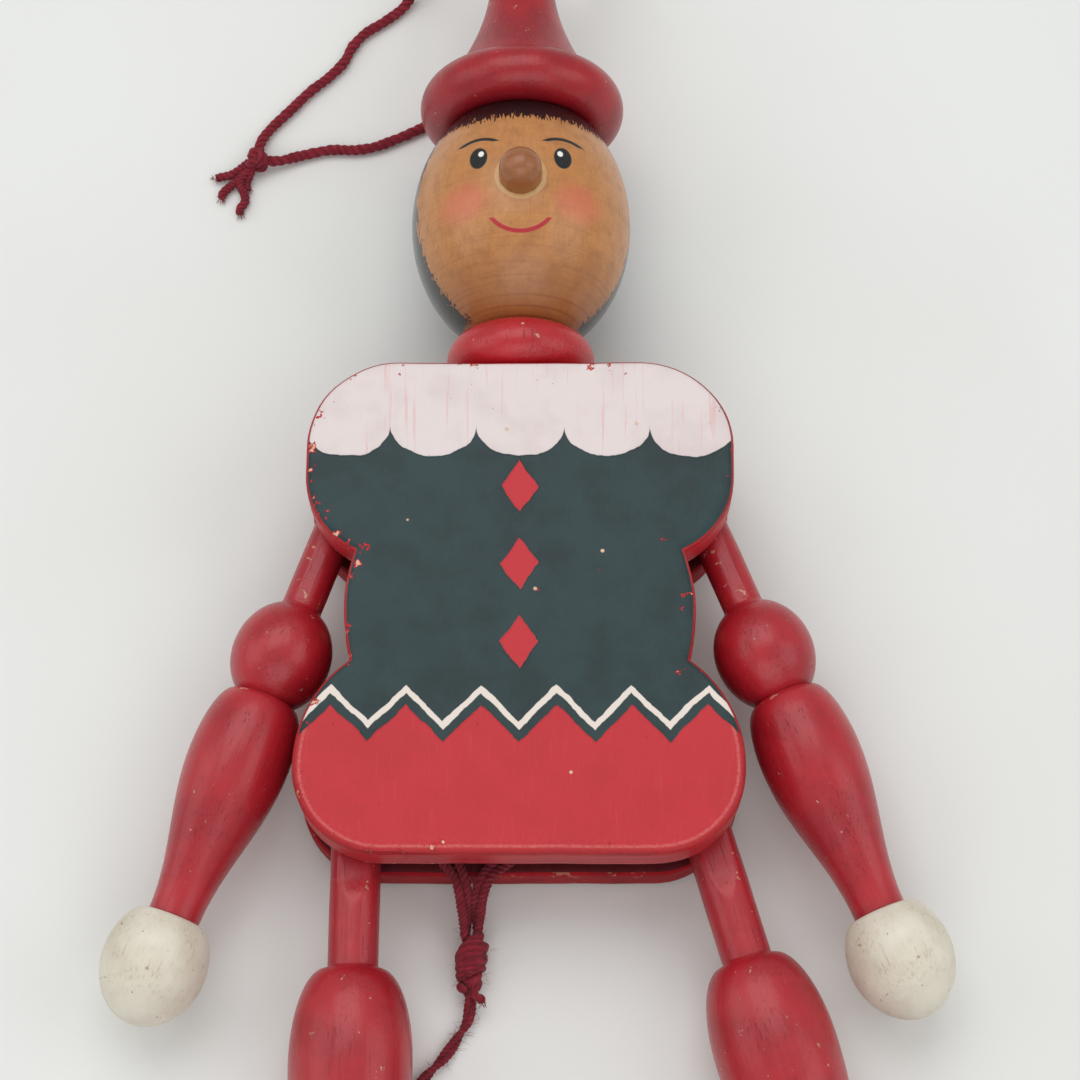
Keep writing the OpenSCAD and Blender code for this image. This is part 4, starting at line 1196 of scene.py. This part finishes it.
# Bead on the pull cord
def beadProfile(spec):
    radius = spec["beadD"] / 2
    hole = spec["beadHole"] / 2
    start = degrees(asin(hole / radius))
    line = [(hole * 0.9, -radius * cos(radians(start)) + 0.8)]
    for i in range(41):
        turn = radians(mix(start + 4, 176 - start, i / 40))
        line.append((radius * sin(turn), -radius * cos(turn)))
    return line + [(hole * 0.9, radius * cos(radians(start)) - 0.8)]


beadPlace = plan @ Matrix.Translation(Vector(pull["bead"]) * mm)
beadMesh = latheMesh("pullBead", beadProfile(pull), 24.0, 0.08, "y", 72, ((6.2, 0.8), (-6.2, 0.8)))
pullBead = addPiece("pullBead", beadMesh, beadPaint, "pull_cord", beadPlace, ("pull_bead",))
declareCord(tailRoute)


# Strings inside the gap, from each stem's thin end
levers = {"arm": (arms, -1), "leg": (legs, 1)}
for limb, (spec, kind) in levers.items():
    for side, sign in sides.items():
        turn = radians(spec["rest"][side])
        holeX = sign * (spec["x"] - spec["lever"] * sin(turn))
        holeY = spec["y"] + spec["lever"] * cos(turn)
        endX = strings["tops"][sign] + kind * sign * strings["stepTop"] / 2
        start = Vector((holeX, holeY, strings["z"]))
        end = Vector((endX, strings["low"], strings["z"]))
        way = (end - start).normalized()
        stops = [start - way * 0.9, start.lerp(end, 0.33), start.lerp(end, 0.66), end + way * 0.7]
        run = smoothRoute(stops, 0.3)
        rise = smoothRoute([start + Vector((0, 0, up)) for up in (-0.3, 2, 5)], 0.3)
        knot = smoothRoute(trefoil((holeX, holeY, 2.75), (0.42, 0.42, 0.35), 36), 0.25)
        parts = [plyTube(run, strings["wide"], strings["pitch"], 60.0 + sign + kind, around=6),
                 plyTube(rise, 1.4, strings["pitch"], 63.0, around=6),
                 plyTube(knot, 1.2, 3.0, 64.0 + sign, around=6)]
        yarnPiece("limbString_" + limb + "_" + side, parts, limb + "_" + side + "_string", figure,
                  (limb + "_string_" + side,))
print("strings done")


# Pins and nails: domed heads on the back board
steelLook = {"plain": tint(150, 146, 140), "deep": tint(96, 92, 88), "rust": tint(120, 78, 52)}


def steelFinish(name, look):
    f = Finish(name)
    spot = f.place()
    darkTone = f.cloud(spot, 0.6, 4.0, 0.65)
    dent = f.cloud(spot, 1.6, 2.0)
    colour = f.blend(f.ease(darkTone, 0.4, 0.7), look["plain"], look["deep"])
    colour = f.blend(f.ease(darkTone, 0.66, 0.78) * 0.6, colour, look["rust"])
    rough = 0.38 + (darkTone - 0.5) * 0.4
    return f.finish(colour, rough, f.bump(dent, 0.12), {"Metallic": 1.0})


pinSteel = steelFinish("pinSteel", steelLook)
pins = {"pinD": 2.4, "pinHead": 5, "nailD": 1.4, "nailHead": 3, "tip": 8.0, "nailTip": 2.0,
        "nails": [(27.5, 2), (-27.5, 2), (8.32, 40.25), (-8.32, 40.25)]}


def nailProfile(wide, cap, tip):
    back = -boards["outer"]
    line = []
    for i in range(11):
        s = i / 10
        line.append((max(cap / 2 * sin(pi / 2 * s), 0.02), back - 0.38 * cos(pi / 2 * s)))
    line += [(cap / 2, back + 0.6), (wide / 2, back + 1.0)]
    line += [(wide / 2, mix(back + 1.0, tip - 1.2, i / 8)) for i in range(1, 9)]
    return line + [(wide / 2 - 0.4, tip - 0.3), (0.05, tip)]


pinLine = nailProfile(pins["pinD"], pins["pinHead"], pins["tip"])
nailLine = nailProfile(pins["nailD"], pins["nailHead"], pins["nailTip"])
for joint, spec in (("shoulder", arms), ("hip", legs)):
    for side, sign in sides.items():
        name = joint + "_pin_" + side
        pinMesh = latheMesh(name, pinLine, 30.0, 0.03, "z", 32)
        spot = figure @ Matrix.Translation((sign * spec["x"] * mm, spec["y"] * mm, 0))
        addPiece("pivotPin_" + joint + "_" + side, pinMesh, pinSteel, "torso", spot, (name,))
nailParts = []
for x, y in pins["nails"]:
    points, faces = lathe(nailLine, "z", 28, 0.03, x)
    nailParts.append(([(px + x, py + y, pz) for px, py, pz in points], faces, []))
points, faces = joinParts(nailParts)[:2]
nailMesh = makeMesh("boardNails", points, faces, None, 38)
addPiece("boardNails", nailMesh, pinSteel, "torso", figure, ("board_nails",))


# Bare wood inside: neck block, waist pegs and dowel keep their solids
bareLook = {"plain": tint(206, 170, 124), "deep": tint(172, 130, 84), "pore": tint(138, 98, 60)}


def bareFinish(name, look):
    f = Finish(name)
    spot = f.place()
    grain = f.cloud(f.stretch(spot, 1.0, 0.07, 1.0), 0.9, 4.0, 0.6)
    fine = f.cloud(f.stretch(spot, 1.0, 0.04, 1.0), 4.0, 3.0, 0.6)
    colour = f.blend(f.ease(grain, 0.3, 0.7), look["plain"], look["deep"])
    colour = f.blend(f.ease(fine, 0.55, 0.75) * 0.4, colour, look["pore"])
    return f.finish(colour, 0.75 + (fine - 0.5) * 0.2, f.bump(fine, 0.12))


bareWood = bareFinish("bareWood", bareLook)
for name in ("neck_block", "waist_peg_left", "waist_peg_right", "neck_dowel"):
    node = frame["nodes"][name]
    node.data.materials.clear()
    node.data.materials.append(bareWood)
print("pins, nails and inner wood done")


# Floor, light and colour
room = {"floor": tint(230, 232, 229), "floorDeep": tint(227, 228, 225), "reach": 3000, "drop": -0.05,
        "sky": (1.0, 1.0, 1.0, 1), "skyShare": 0.505}


def floorFinish(name, look):
    f = Finish(name)
    spot = f.place()
    soft = f.cloud(spot, 0.012, 2.0)
    paper = f.cloud(spot, 1.2, 3.0, 0.6)
    colour = f.blend(f.ease(soft, 0.3, 0.7), look["floor"], look["floorDeep"])
    return f.finish(colour, 0.85 + (paper - 0.5) * 0.1, f.bump(paper, 0.03), {"Specular IOR Level": 0.2})


floorCorners = [(x * room["reach"], y * room["reach"], room["drop"])
                for x, y in ((-1, -1), (1, -1), (1, 1), (-1, 1))]
floorMesh = makeMesh("floor", floorCorners, [(0, 1, 2, 3)])
floorMesh.materials.append(floorFinish("paleFloor", room))
floor = bpy.data.objects.new("floor", floorMesh)
scene.collection.objects.link(floor)

world = bpy.data.worlds.new("studio")
world.use_nodes = True
sky = world.node_tree.nodes["Background"]
sky.inputs["Color"].default_value = room["sky"]
sky.inputs["Strength"].default_value = room["skyShare"]
scene.world = world

lamps = {
    "overhead": {"place": (-0.1, 0.4, 0.95), "aim": (0, 0, 0), "size": (0.9, 0.7), "power": 3.5},
    "footFill": {"place": (0.05, -0.75, 0.75), "aim": (0, -0.02, 0), "size": (1.0, 0.7), "power": 2.4},
    "sideFill": {"place": (0.8, -0.1, 0.7), "aim": (0, 0, 0), "size": (0.7, 0.7), "power": 1.75},
    "leftFill": {"place": (-0.85, 0.05, 0.6), "aim": (0, 0, 0), "size": (0.7, 0.7), "power": 1.5},
}
for name, lamp in lamps.items():
    light = bpy.data.lights.new(name, "AREA")
    light.shape = "RECTANGLE"
    light.size = lamp["size"][0]
    light.size_y = lamp["size"][1]
    light.energy = lamp["power"]
    holder = bpy.data.objects.new(name, light)
    holder.location = lamp["place"]
    aim = Vector(lamp["aim"]) - Vector(lamp["place"])
    holder.rotation_euler = aim.to_track_quat("-Z", "Y").to_euler()
    scene.collection.objects.link(holder)
scene.view_settings.view_transform = "Standard"

print("pieces placed")
